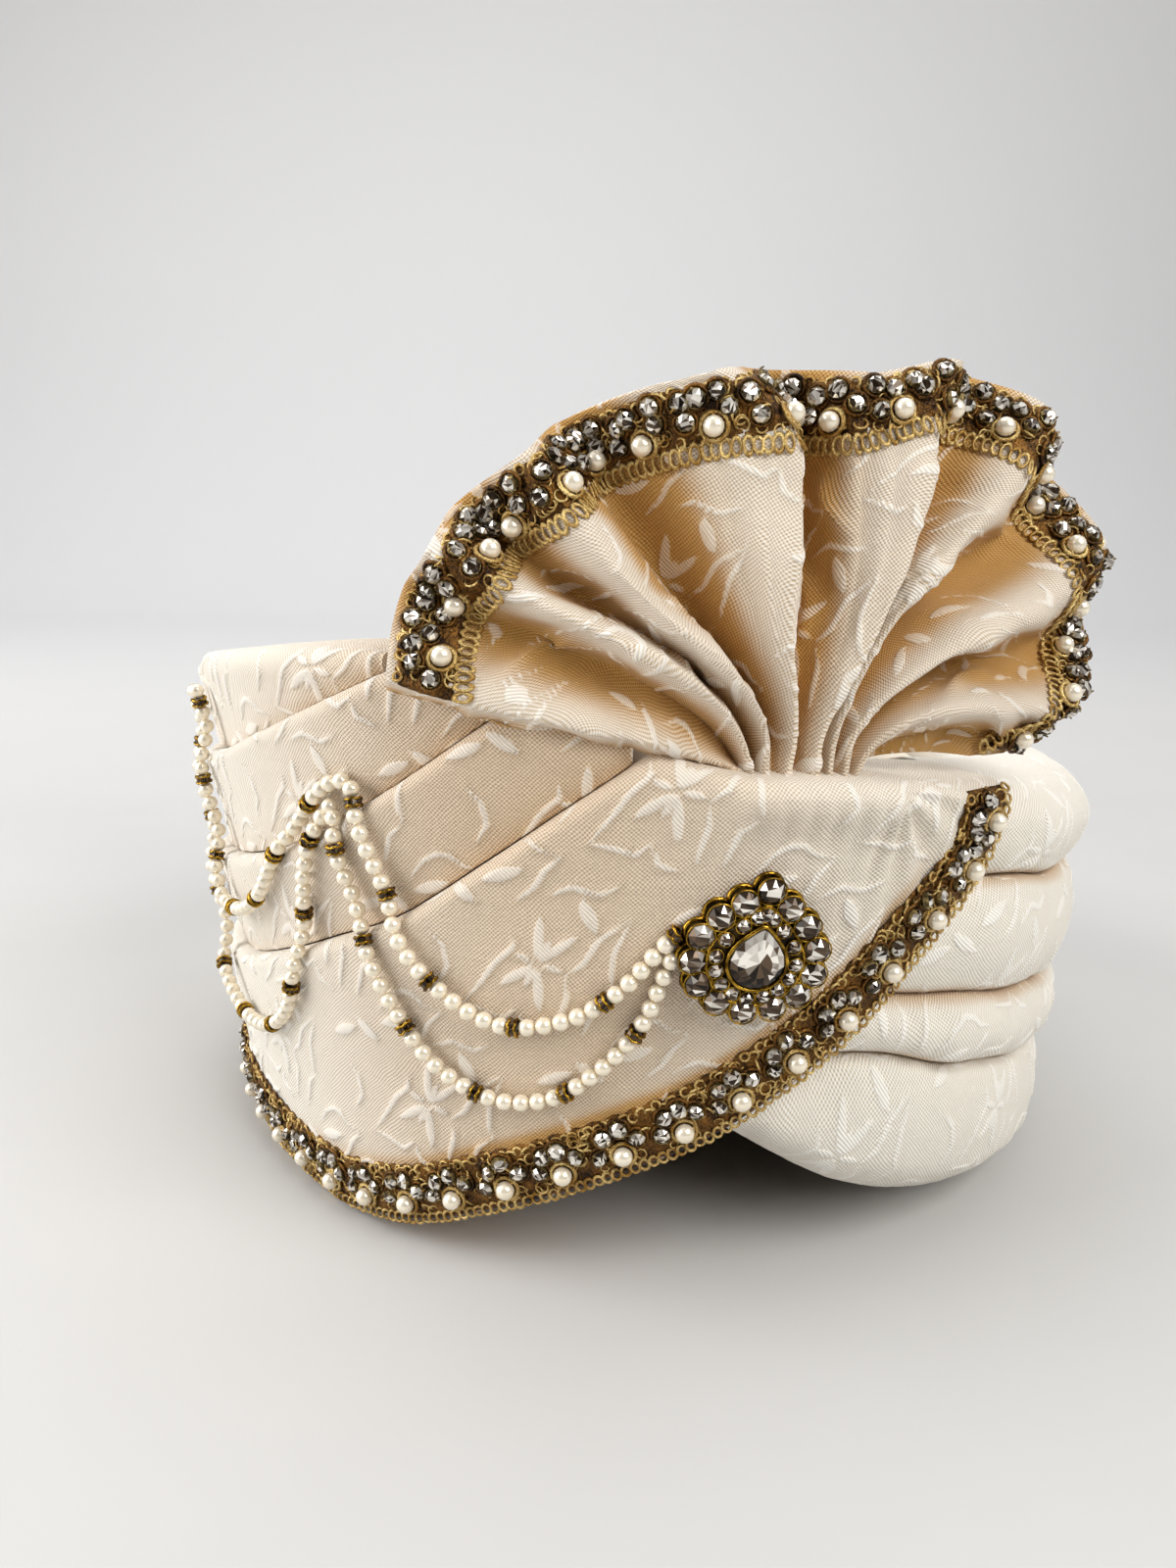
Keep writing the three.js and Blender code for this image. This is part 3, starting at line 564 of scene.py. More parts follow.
# Brush strokes of the vine: points in millimetres from the flower, thin at both ends.
STROKES = (
    ((-6, 8), (-5.5, 3.5), (-10, -1), (-13.5, -6.5), (-18, -12.5)),
    ((-19, -13), (-13, -14), (-8.5, -15.5), (-5, -12.5)),
    ((-5, -13), (-3.5, -17.5), (1.5, -19.5)),
    ((21, 13), (14, 7), (10.5, 0.5), (6.5, -2.5)),
    ((6.5, -3), (7, -8), (5.5, -13), (4.5, -18)),
    ((21, 12), (17.5, 4), (17, -2.5), (18, -6)),
    ((17, -6.5), (13.5, -9.5), (12, -14), (10.5, -18)),
    ((-43, -21), (-39, -15.5), (-35, -13), (-32, -13.2), (-29, -15.5), (-24, -16.5)),
    ((-24.5, -17), (-28, -20.5), (-30.5, -25), (-35, -29)),
    ((-27, 6), (-23, 1.5), (-22, -4), (-25, -9)),
    ((2, 17), (8, 20), (14, 18.5), (19, 21)),
)
# Single leaves: start, end, half width.
LEAVES = (
    ((-42, -24), (-33, -20.5), 1.6),
    ((-20, -27), (-16.5, -35), 1.7),
    ((9, -25), (16, -30), 1.5),
    ((-30, 12), (-22, 16), 1.5),
)


def chart_rows():
    rows = []
    for turn, length, half in PETALS:
        way = np.array([math.sin(math.radians(turn)), math.cos(math.radians(turn))])
        rows.append((way * PETAL_INNER, way * length, half, 0.0, 1.0))
    for start, end, half in LEAVES:
        rows.append((np.array(start), np.array(end), half, 0.0, 1.0))
    for stroke in STROKES:
        count = len(stroke) - 1
        for i in range(count):
            start = np.array(stroke[i])
            end = np.array(stroke[i + 1])
            rows.append((start, end, STROKE_HALF, i / count, (i + 1) / count))
    shift = np.array(REPEAT) / 2
    return rows + [(a + shift, b + shift, half, begin, end) for a, b, half, begin, end in rows]


FIGURE_ROWS = chart_rows()


def figure_at(u, v):
    u = u / FIGURE_SCALE
    v = v / FIGURE_SCALE
    best = np.full(np.shape(u), -FIGURE_FAR)
    for start, end, half, begin, finish in FIGURE_ROWS:
        middle = (start + end) / 2
        du = (u - middle[0] + REPEAT[0] / 2) % REPEAT[0] - REPEAT[0] / 2
        dv = (v - middle[1] + REPEAT[1] / 2) % REPEAT[1] - REPEAT[1] / 2
        length = np.linalg.norm(end - start)
        run = (end - start) / length
        t = np.clip((du * run[0] + dv * run[1]) / length + 0.5, 0, 1)
        gone = np.hypot(du - (t - 0.5) * length * run[0], dv - (t - 0.5) * length * run[1])
        stretch = np.clip(begin + (finish - begin) * t, STROKE_TIP, 1 - STROKE_TIP)
        wide = half * np.sin(np.pi * stretch) ** STROKE_TAPER
        best = np.maximum(best, (wide - gone) * FIGURE_SCALE)
    return best


def figure_lift(inside):
    return FIGURE_RISE * smoothstep(inside, -FIGURE_RISE_SOFT, FIGURE_RISE_SOFT)


print("figure rows", len(FIGURE_ROWS), "on a repeat of mm", REPEAT)

# %% [markdown]
# ## Cloth meshes
#
# A cloth surface is easiest as a grid of points: one way along the cloth, one way across it. The grid is
# wrapped into a closed ring at every step and capped at both ends, so each fold is a closed cushion.


# %% Mesh helpers
def mesh_piece(name, points, faces, material, node=None, slot=None, uv=None, smooth=True, **values):
    mesh = bpy.data.meshes.new(name)
    mesh.from_pydata(((points + CENTRE_SHIFT) * MM).tolist(), [], faces)
    if uv is not None:
        corner = np.empty(len(mesh.loops), dtype=np.int32)
        mesh.loops.foreach_get("vertex_index", corner)
        layer = mesh.uv_layers.new(name="cloth")
        layer.uv.foreach_set("vector", uv[corner].astype(np.float32).ravel())
    for value_name, value in values.items():
        layer = mesh.attributes.new(value_name, "FLOAT", "POINT")
        layer.data.foreach_set("value", value.astype(np.float32).ravel())
    if smooth:
        mesh.shade_smooth()
    mesh.materials.append(material)
    piece = bpy.data.objects.new(name, mesh)
    bpy.context.collection.objects.link(piece)
    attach(piece, "root")
    if node:
        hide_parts(node)
    print(name, len(points), "points,", sum(len(f) - 2 for f in faces), "triangles")
    return piece


def tube_faces(columns, ring):
    i, j = np.meshgrid(np.arange(columns - 1), np.arange(ring), indexing="ij")
    k = (j + 1) % ring
    quads = np.stack([i * ring + j, (i + 1) * ring + j, (i + 1) * ring + k, i * ring + k], axis=-1)
    faces = quads.reshape(-1, 4).tolist()
    faces.append(list(range(ring))[::-1])
    faces.append([(columns - 1) * ring + j for j in range(ring)])
    return faces


# %% [markdown]
# ## The four folds
#
# Each fold starts behind the slanted hem of the front panel, runs right round, and ends under the pleat
# below it. Columns are close together where the photo looks and wider apart at the back. Slow ripples
# keep the padding from looking turned on a lathe, and small puckers run along the seams.

# %% Columns of a fold
MM_PER_DEGREE = 2.12
BACK_BEGIN = 100.0
BACK_END = 255.0
# Columns: rows across the cloth, step at the front in mm, step at the back in mm, fill.
FOLD_MESH = {
    "front_fold": (108, 0.84, 1.5, 0.55),
    "middle_fold": (44, 0.75, 1.3, 0.6),
    "upper_fold": (44, 0.75, 1.3, 0.6),
    "top_fold": (44, 0.75, 1.3, 0.6),
}
# Share of the rows that crowd towards the two edges of a fold.
EDGE_CROWDING = 0.3
HEM_BEGIN = 340.0
HEM_END = 387.0
HEM_SAMPLES = 400
START_GUESS = 10.0
START_ROUNDS = 14


def hem_direction(height):
    # Where the slanted hem of the front panel passes a height.
    directions = np.linspace(HEM_BEGIN, HEM_END, HEM_SAMPLES)
    return np.interp(height, winding("rim", directions), directions)


def fold_start(fold, across):
    direction = np.full(across.shape, START_GUESS)
    for _ in range(START_ROUNDS):
        bottom, top = fold_edges(fold, direction)
        direction = hem_direction(bottom + (top - bottom) * across) - 360 + START_GAP
    return direction


def fold_columns(step_front, step_back, last):
    spans = ((START_END, BACK_BEGIN, step_front), (BACK_BEGIN, BACK_END, step_back),
             (BACK_END, last, step_front))
    parts = [np.linspace(a, b, int((b - a) * MM_PER_DEGREE / step), endpoint=False) for a, b, step in spans]
    return np.append(np.concatenate(parts), last)


def fold_grid(fold):
    rows, step_front, step_back, _ = FOLD_MESH[fold]
    even = np.linspace(0, 1, rows)
    crowded = 0.5 - 0.5 * np.cos(np.pi * even)
    across = (1 - EDGE_CROWDING) * even + EDGE_CROWDING * crowded
    start = fold_start(fold, across)
    lead = np.linspace(0, 1, int((START_END - start.min()) * MM_PER_DEGREE / step_front), endpoint=False)
    columns = fold_columns(step_front, step_back, FOLDS[fold][2])
    direction = np.vstack([
        start + (START_END - start) * lead[:, None],
        np.broadcast_to(columns[:, None], (len(columns), rows)),
    ])
    return across, direction, np.append(lead, np.ones(len(columns)))


for fold_name in FOLDS:
    print(fold_name, "grid", fold_grid(fold_name)[1].shape)

# %% [markdown]
# ## Small relief on the folds
#
# Padded cloth is never even. Slow ripples, puckers at the seams, small gathers and a band under the fan,
# and pulls that spread from the gather are each a short formula of the place on the cloth. A sculpting
# brush could draw them too, but a formula gives the same cloth each time.

# %% Ripples, puckers, gathers and pulls
# Ripples: rise in mm, then the lengths of their waves in mm for each turn of one radian. Plain numbers
# inside a sine below are phases and sways in radians.
SLOW_RIPPLE = (0.35, 13.0, 9.0, 11.0)
QUICK_RIPPLE = (0.12, 5.3, 7.1, 29.0)
PUCKER_RISE = 1.0
PUCKER_REACH = 4.5
PUCKER_WAVES = (1.9, 7.3, 16.0)
PUCKER_EDGE = (0.3, 2.5)
GATHER_FROM = 356.0
GATHER_TO = 376.0
GATHER_EASE = 4.0
GATHER_PITCH = 2.3
GATHER_RISE = 0.5
GATHER_REACH = 12.0
BAND_RISE = 2.4
BAND_BELOW = 5.0
PULL_FROM = (373.0, 112.0)
PULL_RISE = 1.1
PULL_REACH = 24.0
PULL_PITCH = 27.0
PULL_SECTOR = (-35.0, -5.0, 75.0, 95.0)
PULL_FREE = (1.0, 7.0)
PULL_CURL = 0.06
PULL_UNEVEN = 17.0


def ripples(u, v):
    rise, along_wave, sway, across_wave = SLOW_RIPPLE
    slow = rise * np.sin(u / along_wave + 0.8 * np.sin(v / sway)) * np.sin(v / across_wave + 0.4)
    rise, along_wave, across_wave, beat = QUICK_RIPPLE
    return slow + rise * np.sin(u / along_wave + v / across_wave) * np.sin(u / beat + 1.3)


def puckers(u, edge_far):
    quick, sway, beat = PUCKER_WAVES
    dents = np.sin(u / quick + 2.1 * np.sin(u / sway)) * smoothstep(np.sin(u / beat + 0.8), -0.4, 0.9)
    return PUCKER_RISE * dents * smoothstep(edge_far, *PUCKER_EDGE) * np.exp(-edge_far / PUCKER_REACH)


def gathers(direction, height):
    gathered = smoothstep(direction, GATHER_FROM, GATHER_FROM + GATHER_EASE)
    gathered = gathered * (1 - smoothstep(direction, GATHER_TO - GATHER_EASE, GATHER_TO))
    below = winding("crest", direction) - height
    small = GATHER_RISE * np.exp(-below / GATHER_REACH) * np.cos(2 * np.pi * direction / GATHER_PITCH)
    band = BAND_RISE * np.exp(-((below - BAND_BELOW) / BAND_BELOW) ** 2)
    return gathered * (small + band)


def pulls(direction, height):
    side = (direction - PULL_FROM[0]) * MM_PER_DEGREE
    down = PULL_FROM[1] - height
    far = np.hypot(side, down)
    way = np.degrees(np.arctan2(side, down))
    sector = smoothstep(way, *PULL_SECTOR[:2]) * (1 - smoothstep(way, *PULL_SECTOR[2:]))
    fading = smoothstep(far, *PULL_FREE) * np.exp(-far / PULL_REACH)
    wave = 2 * np.pi * way / PULL_PITCH + PULL_CURL * far + 1.2 * np.sin(way / PULL_UNEVEN)
    return PULL_RISE * sector * fading * np.cos(wave)


# %% Painted shade and warm tints of a fold
EDGING_WIDTH = 14.0
# Painted shade in the creases between rolls, and its reach in mm.
CREASE_PAINTED_SHADE = 0.6
CREASE_SHADE_REACH = 1.4
# An even painted shade on the pleated side, and painted shade along each pleat's lower edge, under the proud
# fold below it.
PLEAT_TONE = 0.08
PLEAT_TONE_EASE = 50.0
PLEAT_PAINTED_SHADE = 0.2
PLEAT_SHADE_REACH = 3.0
# A warm, darker band on the panel just above its edging, and where it stops.
HEM_WARMTH = 0.6
HEM_WARM_REACH = 1.7
HEM_WARM_END = 379.0
HEM_WARM_EASE = 5.0
# Painted shade on the front panel where it faces away from the side lamps, paler again towards its right,
# which the right lamp lights.
FRONT_PAINTED_SHADE = 0.45
FRONT_SHADE_FROM = 295.0
FRONT_SHADE_FULL = 342.0
FRONT_PALE = 0.7
FRONT_PALE_FROM = 345.0
FRONT_PALE_FULL = 372.0


def fold_shade_and_tint(fold, direction, height, bottom, edge_far):
    pleated = smoothstep(direction, PLEATS_FULL, PLEATS_FULL + PLEAT_TONE_EASE)
    front = smoothstep(direction, FRONT_SHADE_FROM, FRONT_SHADE_FULL)
    pale = smoothstep(direction, FRONT_PALE_FROM, FRONT_PALE_FULL)
    # The front panel gets a warm band just above its edging.
    if fold == "front_fold":
        climb = np.gradient(bottom[:, 0], direction[:, 0] * MM_PER_DEGREE)[:, None]
        hem_far = (height - bottom) / np.sqrt(1 + climb ** 2) - EDGING_WIDTH
        warmth = HEM_WARMTH * np.exp(-(np.maximum(hem_far, 0) / HEM_WARM_REACH) ** 2) * front
        warmth = warmth * (1 - smoothstep(direction, HEM_WARM_END - HEM_WARM_EASE, HEM_WARM_END))
    else:
        # Painted shade in the creases between rolls; on the pleats an even painted shade and painted shade
        # along each lower edge.
        warmth = CREASE_PAINTED_SHADE * np.exp(-(edge_far / CREASE_SHADE_REACH) ** 2) * (1 - pleated)
        pleat = PLEAT_TONE + PLEAT_PAINTED_SHADE * np.exp(-(height - bottom) / PLEAT_SHADE_REACH)
        warmth = warmth + pleat * pleated
    # Painted shade over the front, lighter towards its right.
    return warmth + FRONT_PAINTED_SHADE * front * (1 - FRONT_PALE * pale)


# %% Make the folds
LID_ROWS = 6
LID_BULGE = 2.0
LID_FIRST = 0.04
LID_CROWDING = 1.5
ROLL_FIGURE = 0.55
DRAPE_EASE = 6.0
START_TUCK_END = 0.35
FOLD_PHASE = 17.0
PHASE_ACROSS = 0.4
PHASE_PUCKERS = 3.0


def fold_lid(edge, inside, at_crest):
    share = LID_FIRST + (1 - LID_FIRST) * np.linspace(0, 1, LID_ROWS) ** LID_CROWDING
    lid = edge + (inside - edge) * share[None, :, None]
    lid[..., 2] += LID_BULGE * np.sin(np.pi * share) * at_crest
    return lid, np.linalg.norm(inside - edge, axis=-1) * share


def make_fold(fold, phase):
    across, direction, lead = fold_grid(fold)
    bottom, top = fold_edges(fold, direction)
    height = bottom + (top - bottom) * across
    offset = fold_offset(fold, direction, height)
    run = np.hypot(np.diff(offset, axis=1), np.diff(height, axis=1)).cumsum(axis=1)
    u = direction * MM_PER_DEGREE
    v = bottom + np.pad(run, ((0, 0), (1, 0)))
    figure = figure_at(u + phase, v + phase * PHASE_ACROSS)
    at_crest = top >= winding("crest", direction)
    edge_far = np.minimum(height - bottom, np.where(at_crest, NO_EDGE, top - height))
    warmth = fold_shade_and_tint(fold, direction, height, bottom, edge_far)

    flat = smoothstep(direction, PLEATS_BEGIN, PLEATS_FULL)
    relief = figure_lift(figure) * (ROLL_FIGURE + (1 - ROLL_FIGURE) * flat)
    relief = relief + puckers(u + PHASE_PUCKERS * phase, edge_far) * (1 - flat)
    drape = np.minimum(np.minimum(across, 1 - across) * DRAPE_EASE, 1)
    tuck = START_TUCK * (1 - smoothstep(lead, 0, START_TUCK_END))
    offset = offset - tuck[:, None] + ripples(u + phase, v) * drape + relief
    if fold == "front_fold":
        offset = offset + gathers(direction, height) + pulls(direction, height)

    outer = body_points(direction, offset, height)
    deep = np.full((len(direction), 1), FOLD_INSIDE)
    inner_low = body_points(direction[:, :1], deep, bottom[:, :1])
    inner_high = body_points(direction[:, -1:], deep, np.where(at_crest, top - CREST_DIP, top)[:, -1:])
    lid, lid_run = fold_lid(outer[:, -1:], inner_high, at_crest[:, -1:])
    points = np.concatenate([inner_low, outer, lid], axis=1)
    u = np.pad(u, ((0, 0), (1, LID_ROWS)), "edge")
    v = np.concatenate([v[:, :1], v, v[:, -1:] + lid_run], axis=1)
    figure = np.concatenate([figure[:, :1], figure, np.full(lid_run.shape, -FIGURE_FAR)], axis=1)
    warmth = np.pad(warmth, ((0, 0), (1, LID_ROWS)), "edge")
    piece = mesh_piece(
        fold + "_cloth", points.reshape(-1, 3), tube_faces(*points.shape[:2]), JACQUARD, fold,
        "jacquard_cloth", np.stack([u, v], axis=-1).reshape(-1, 2), figure=figure, warmth=warmth)


for number, fold_name in enumerate(FOLDS):
    make_fold(fold_name, FOLD_PHASE * number)

# %% [markdown]
# ## The cap
#
# Inside the folds is a thin cap with a domed top. It shows as a shaded arch under the front panel and as
# the crown from above. A wall and a dome are swept round on the same directions as the folds, with the
# inner face a cloth's thickness in, and soft radial gathers run up the dome. The inner face has painted
# shade in its colour: it is darkened to a dark brown.

# %% Make the cap
CAP_OUTSIDE = -27.5
CAP_WALL = 3.0
CAP_BELOW_CREST = 9.0
CAP_APEX = 116.0
CAP_STEPS = 180
CAP_WALL_ROWS = 14
CAP_DOME_ROWS = 30
CAP_GATHERS = 28
CAP_GATHER_RISE = 0.5
# Painted shade on the cap's inner face.
CAP_INNER_PAINTED_SHADE = 0.9
CAP_WEAVE_SLANT = 0.7
OVERLAP_END = 30.0
# Columns: direction, height of the cap's lower edge.
CAP_EDGE = np.array([
    (0.0, 45.0),
    (15.0, 26.0),
    (30.0, 13.0),
    (52.0, 3.0),
    (285.0, 3.0),
    (310.0, 5.0),
    (326.0, 11.0),
    (343.0, 26.0),
    (360.0, 45.0),
])


def cap_side(direction, edge, top, offset, drop, gather_rise):
    wall = np.linspace(0, 1, CAP_WALL_ROWS)
    dome = np.linspace(0, 1, CAP_DOME_ROWS + 1)[1:-1]
    height = edge + (top - drop - edge) * wall
    up = body_points(direction, np.full(height.shape, offset), height)
    turn = np.radians(direction)
    gather = gather_rise * np.cos(turn * CAP_GATHERS) * np.sin(np.pi * dome)
    rise = top + (CAP_APEX - top) * (1 - (1 - dome) ** 2) - drop + gather
    x = (HALF_WIDTH + offset) * np.sin(turn) * (1 - dome)
    y = -(HALF_DEPTH + offset) * np.cos(turn) * (1 - dome)
    return np.concatenate([up, np.stack([x, y, rise], axis=-1)], axis=1)


def make_cap():
    direction = np.linspace(0, 360, CAP_STEPS, endpoint=False)[:, None]
    edge = along(CAP_EDGE, 1, direction)
    wound = np.where(direction < OVERLAP_END, direction + 360, direction)
    top = winding("crest", wound) - CAP_BELOW_CREST
    outside = cap_side(direction, edge, top, CAP_OUTSIDE, 0.0, CAP_GATHER_RISE)
    inside = cap_side(direction, edge, top, CAP_OUTSIDE - CAP_WALL, CAP_WALL, 0.0)
    rows = outside.shape[1]
    apexes = [[0, 0, CAP_APEX], [0, 0, CAP_APEX - CAP_WALL]]
    points = np.concatenate([outside.reshape(-1, 3), inside.reshape(-1, 3), apexes])
    inner = CAP_STEPS * rows
    last = 2 * inner
    faces = []
    for i in range(CAP_STEPS):
        here = i * rows
        there = (i + 1) % CAP_STEPS * rows
        for j in range(rows - 1):
            quad = (here + j, there + j, there + j + 1, here + j + 1)
            faces.append(quad)
            faces.append([inner + k for k in quad[::-1]])
        faces.append((here + rows - 1, there + rows - 1, last))
        faces.append((inner + there + rows - 1, inner + here + rows - 1, last + 1))
        faces.append((inner + here, inner + there, there, here))
    uv = points[:, :2] + points[:, 2:] * CAP_WEAVE_SLANT
    plain = np.full(len(points), -FIGURE_FAR)
    # Painted shade: the inner face is darkened towards the cap cloth's dark brown tone.
    inner_shade = np.zeros(len(points))
    inner_shade[inner:last] = CAP_INNER_PAINTED_SHADE
    mesh_piece("crown_cloth", points, faces, CAP_CLOTH, "crown", "cap_cloth", uv,
               figure=plain, warmth=inner_shade)


make_cap()

# %% [markdown]
# ## The pleated fan
#
# The fan is one piece of the same cloth, gathered tightly at the neck and left to spread. Its pleats are
# narrow at the neck and wide at the rim, and some of them bend on the way. Each row of the table is one
# ridge or valley line: how far it reaches, its angle at four knots from the neck to the rim, and how far it
# rises at the neck, half way and at the rim. The grid follows these lines, so every fold stays crisp. A
# second skin behind it gives the cloth its thickness.

# %% Fan table
FAN_BASE = (9.0, -136.5, 116.1)
FAN_FACING = math.radians(6)
FAN_LEAN = math.tan(math.radians(12))
FAN_BEND = 165.0
FAN_NECK_HALF = 14.0
FAN_SPREAD = 80.0
FAN_CRISP_TO = 0.1
FAN_HALFWAY = 0.5
FAN_NECK_BACK = 3.0
FAN_NECK_END = 0.25
FAN_KNOTS = (0.1, 0.4, 0.7, 1.0)
# Names of the table's columns by number. The angles are one column for each knot.
FAN_REACH = 0
FAN_ANGLE = 1
FAN_RIM_ANGLE = 4
FAN_NECK_RISE = 5
FAN_HALFWAY_RISE = 6
FAN_RIM_RISE = 7
FAN = np.array([
    (64.0, -78.5, -78.5, -78.5, -78.5, 0.0, -1.0, -2.0),
    (66.0, -70.0, -74.0, -76.0, -76.0, 2.5, 5.0, 4.5),
    (70.2, -34.0, -51.5, -59.0, -62.3, -3.5, -4.0, -1.5),
    (71.4, -21.0, -43.0, -52.5, -57.0, 3.5, 7.0, 4.5),
    (72.7, -14.0, -38.3, -46.4, -48.7, -3.5, -6.0, -3.5),
    (73.3, -5.0, -32.5, -39.0, -38.5, 3.5, 8.5, 5.0),
    (74.2, -1.0, -24.0, -28.0, -30.7, -3.5, -11.0, -7.5),
    (74.8, 4.0, -11.8, -13.0, -20.0, 1.5, 3.0, 4.0),
    (74.6, 4.5, -8.0, -6.5, -16.0, 2.5, 7.0, 5.5),
    (74.8, 5.0, -4.5, 0.0, -12.0, 3.5, 8.5, 7.0),
    (75.3, 6.0, 4.3, 5.2, -1.7, -3.5, -11.5, -7.5),
    (76.2, 7.0, 15.0, 11.5, 11.0, 1.5, 3.0, 2.5),
    (79.5, 8.0, 18.5, 16.3, 16.0, 2.5, 6.5, 4.0),
    (83.5, 9.0, 22.0, 21.0, 21.0, 3.5, 9.0, 7.0),
    (86.0, 9.5, 23.5, 26.3, 26.8, -3.5, -8.5, -6.5),
    (88.0, 10.0, 25.0, 36.0, 37.5, 3.5, 7.0, 5.0),
    (83.8, 13.0, 33.4, 44.4, 45.5, -3.5, -7.5, -6.5),
    (80.0, 17.0, 46.0, 57.0, 57.5, 3.5, 7.0, 5.0),
    (73.3, 25.5, 54.0, 66.5, 66.0, -3.5, -6.0, -5.0),
    (61.0, 36.0, 64.0, 78.0, 76.0, 3.0, 5.5, 2.5),
    (48.0, 52.0, 74.0, 84.5, 84.0, -2.5, -3.5, -2.5),
    (38.0, 75.0, 86.0, 91.0, 91.0, -2.0, -4.0, -6.0),
])


def between_lines(line, column, weight):
    i = np.clip(line.astype(int), 0, len(FAN) - 2)
    return FAN[i, column] * (1 - weight) + FAN[i + 1, column] * weight


def fan_reach(line):
    rim = FAN[:, [FAN_RIM_ANGLE, FAN_REACH]]
    return along(rim, 1, np.interp(line, np.arange(len(FAN)), rim[:, 0]))


def fan_rise(line, share):
    line, share = np.broadcast_arrays(np.asarray(line, float), np.asarray(share, float))
    t = line - np.clip(line.astype(int), 0, len(FAN) - 2)
    crisp = 1 - smoothstep(share, FAN_CRISP_TO, FAN_HALFWAY)
    eased = smoothstep(t, 0, 1) * (1 - crisp) + t * crisp
    neck = between_lines(line, FAN_NECK_RISE, eased)
    half_way = between_lines(line, FAN_HALFWAY_RISE, eased)
    low = neck + (half_way - neck) * smoothstep(share, 0.0, FAN_HALFWAY)
    return low + (between_lines(line, FAN_RIM_RISE, eased) - low) * smoothstep(share, FAN_HALFWAY, 1.0)


def knot_weight(share, number):
    # Share of one knot in the smooth curve that passes through all of them.
    near = np.maximum(share, FAN_KNOTS[0] / 2)
    weight = 1.0
    for other, knot in enumerate(FAN_KNOTS):
        if other != number:
            weight = weight * (near - knot) / (FAN_KNOTS[number] - knot)
    return weight


def fan_points(line, share):
    line, share = np.broadcast_arrays(np.asarray(line, float), np.asarray(share, float))
    t = line - np.clip(line.astype(int), 0, len(FAN) - 2)
    knots = range(len(FAN_KNOTS))
    angle = np.radians(sum(knot_weight(share, k) * between_lines(line, FAN_ANGLE + k, t) for k in knots))
    reach = fan_reach(line) * share
    side = FAN_NECK_HALF * between_lines(line, FAN_RIM_ANGLE, t) / FAN_SPREAD + reach * np.sin(angle)
    up = reach * np.cos(angle)
    back = side ** 2 / (2 * FAN_BEND) + up * FAN_LEAN - fan_rise(line, share)
    back = back + FAN_NECK_BACK * (1 - smoothstep(share, 0.0, FAN_NECK_END))
    x = FAN_BASE[0] + side * math.cos(FAN_FACING) - back * math.sin(FAN_FACING)
    y = FAN_BASE[1] + side * math.sin(FAN_FACING) + back * math.cos(FAN_FACING)
    return np.stack([x, y, FAN_BASE[2] + up], axis=-1)


print("fan lines", len(FAN), "reach up to mm", FAN[:, FAN_REACH].max())

# %% [markdown]
# ## Cloth of the fan
#
# Stiffened cloth that was pleated by hand keeps small dents and sharp creases beside its folds. They are
# added where the sheet is loose, away from the neck, the edging and the ridges. The UV map lays the sheet
# out as a flat ring sector, so the woven figure is as large at the rim as at the neck.

# %% Make the fan
FAN_CLOTH = 1.0
FAN_SUNK = -0.07
FAN_STEPS_PER_LINE = 16
FAN_ROWS = 86
FAN_FIGURE = 0.7
# An even painted shade over the whole fan, more painted shade in its valleys between these rises of the
# pleats, and a yellow line along the flap's lower edge.
FAN_PAINTED_SHADE = 0.26
FAN_VALLEY_PAINTED_SHADE = 0.85
FAN_DEEP = (-5.0, 3.0)
FAN_HEM_WARMTH = 0.9
FAN_HEM_LINE = 0.3
FAN_CRUMPLE = 3.0
FAN_CRUMPLE_FINER = 1.4
FAN_CREASE = 2.0
FAN_RIDGE = (0.5, 3.5)
FAN_LOOSE_FROM = (0.15, 0.45)
FAN_LOOSE_TO = (0.72, 0.82)
CREASE_WAVES = (8.5, 21.0, 8.0, 19.0)
CREASE_PATCHES = (14.0, 12.0)
CREASE_SHARPNESS = 3


def unit_rows(vectors):
    return vectors / np.maximum(np.linalg.norm(vectors, axis=-1, keepdims=True), 1e-9)


def grid_normals(points):
    return unit_rows(np.cross(np.gradient(points, axis=0), np.gradient(points, axis=1)))


def creases(u, v):
    along_wave, across_wave, sway, drift = CREASE_WAVES
    wander = u / along_wave + v / across_wave + 1.3 * np.sin(v / sway + 0.7) + 0.8 * np.sin(u / drift)
    sharp = (1 - np.abs(np.sin(wander))) ** CREASE_SHARPNESS
    patches = np.sin(u / CREASE_PATCHES[0] + 2.0) * np.sin(v / CREASE_PATCHES[1] + 0.5)
    return sharp * smoothstep(patches, -0.2, 0.5)


def sheet_faces(columns, rows):
    i, j = np.meshgrid(np.arange(columns - 1), np.arange(rows - 1), indexing="ij")
    a = i * rows + j
    front = np.stack([a, a + rows, a + rows + 1, a + 1], axis=-1).reshape(-1, 4)
    behind = columns * rows
    edge = [j for j in range(rows)] + [i * rows + rows - 1 for i in range(1, columns)]
    edge += [(columns - 1) * rows + j for j in range(rows - 2, -1, -1)]
    edge += [i * rows for i in range(columns - 2, 0, -1)]
    rim = [(a, b, b + behind, a + behind) for a, b in zip(edge, edge[1:] + edge[:1])]
    return front.tolist() + (front[:, ::-1] + behind).tolist() + rim


def lengths_along(points, axis):
    steps = np.linalg.norm(np.diff(points, axis=axis), axis=-1).cumsum(axis=axis)
    before = [(0, 0)] * steps.ndim
    before[axis] = (1, 0)
    return np.pad(steps, before)


def fan_layout(middle):
    # The pleated sheet laid out flat, as a sector of a ring, in mm.
    upward = lengths_along(middle, 1)
    around = lengths_along(middle, 0)
    lengths = around[-1]
    spread = (lengths[-1] - lengths[0]) / upward[:, -1].mean()
    radius = lengths[0] / spread + upward
    turn = (around - lengths / 2) / radius
    print("fan neck", round(lengths[0]), "mm, rim", round(lengths[-1]), "mm")
    return radius * np.sin(turn), radius * np.cos(turn)


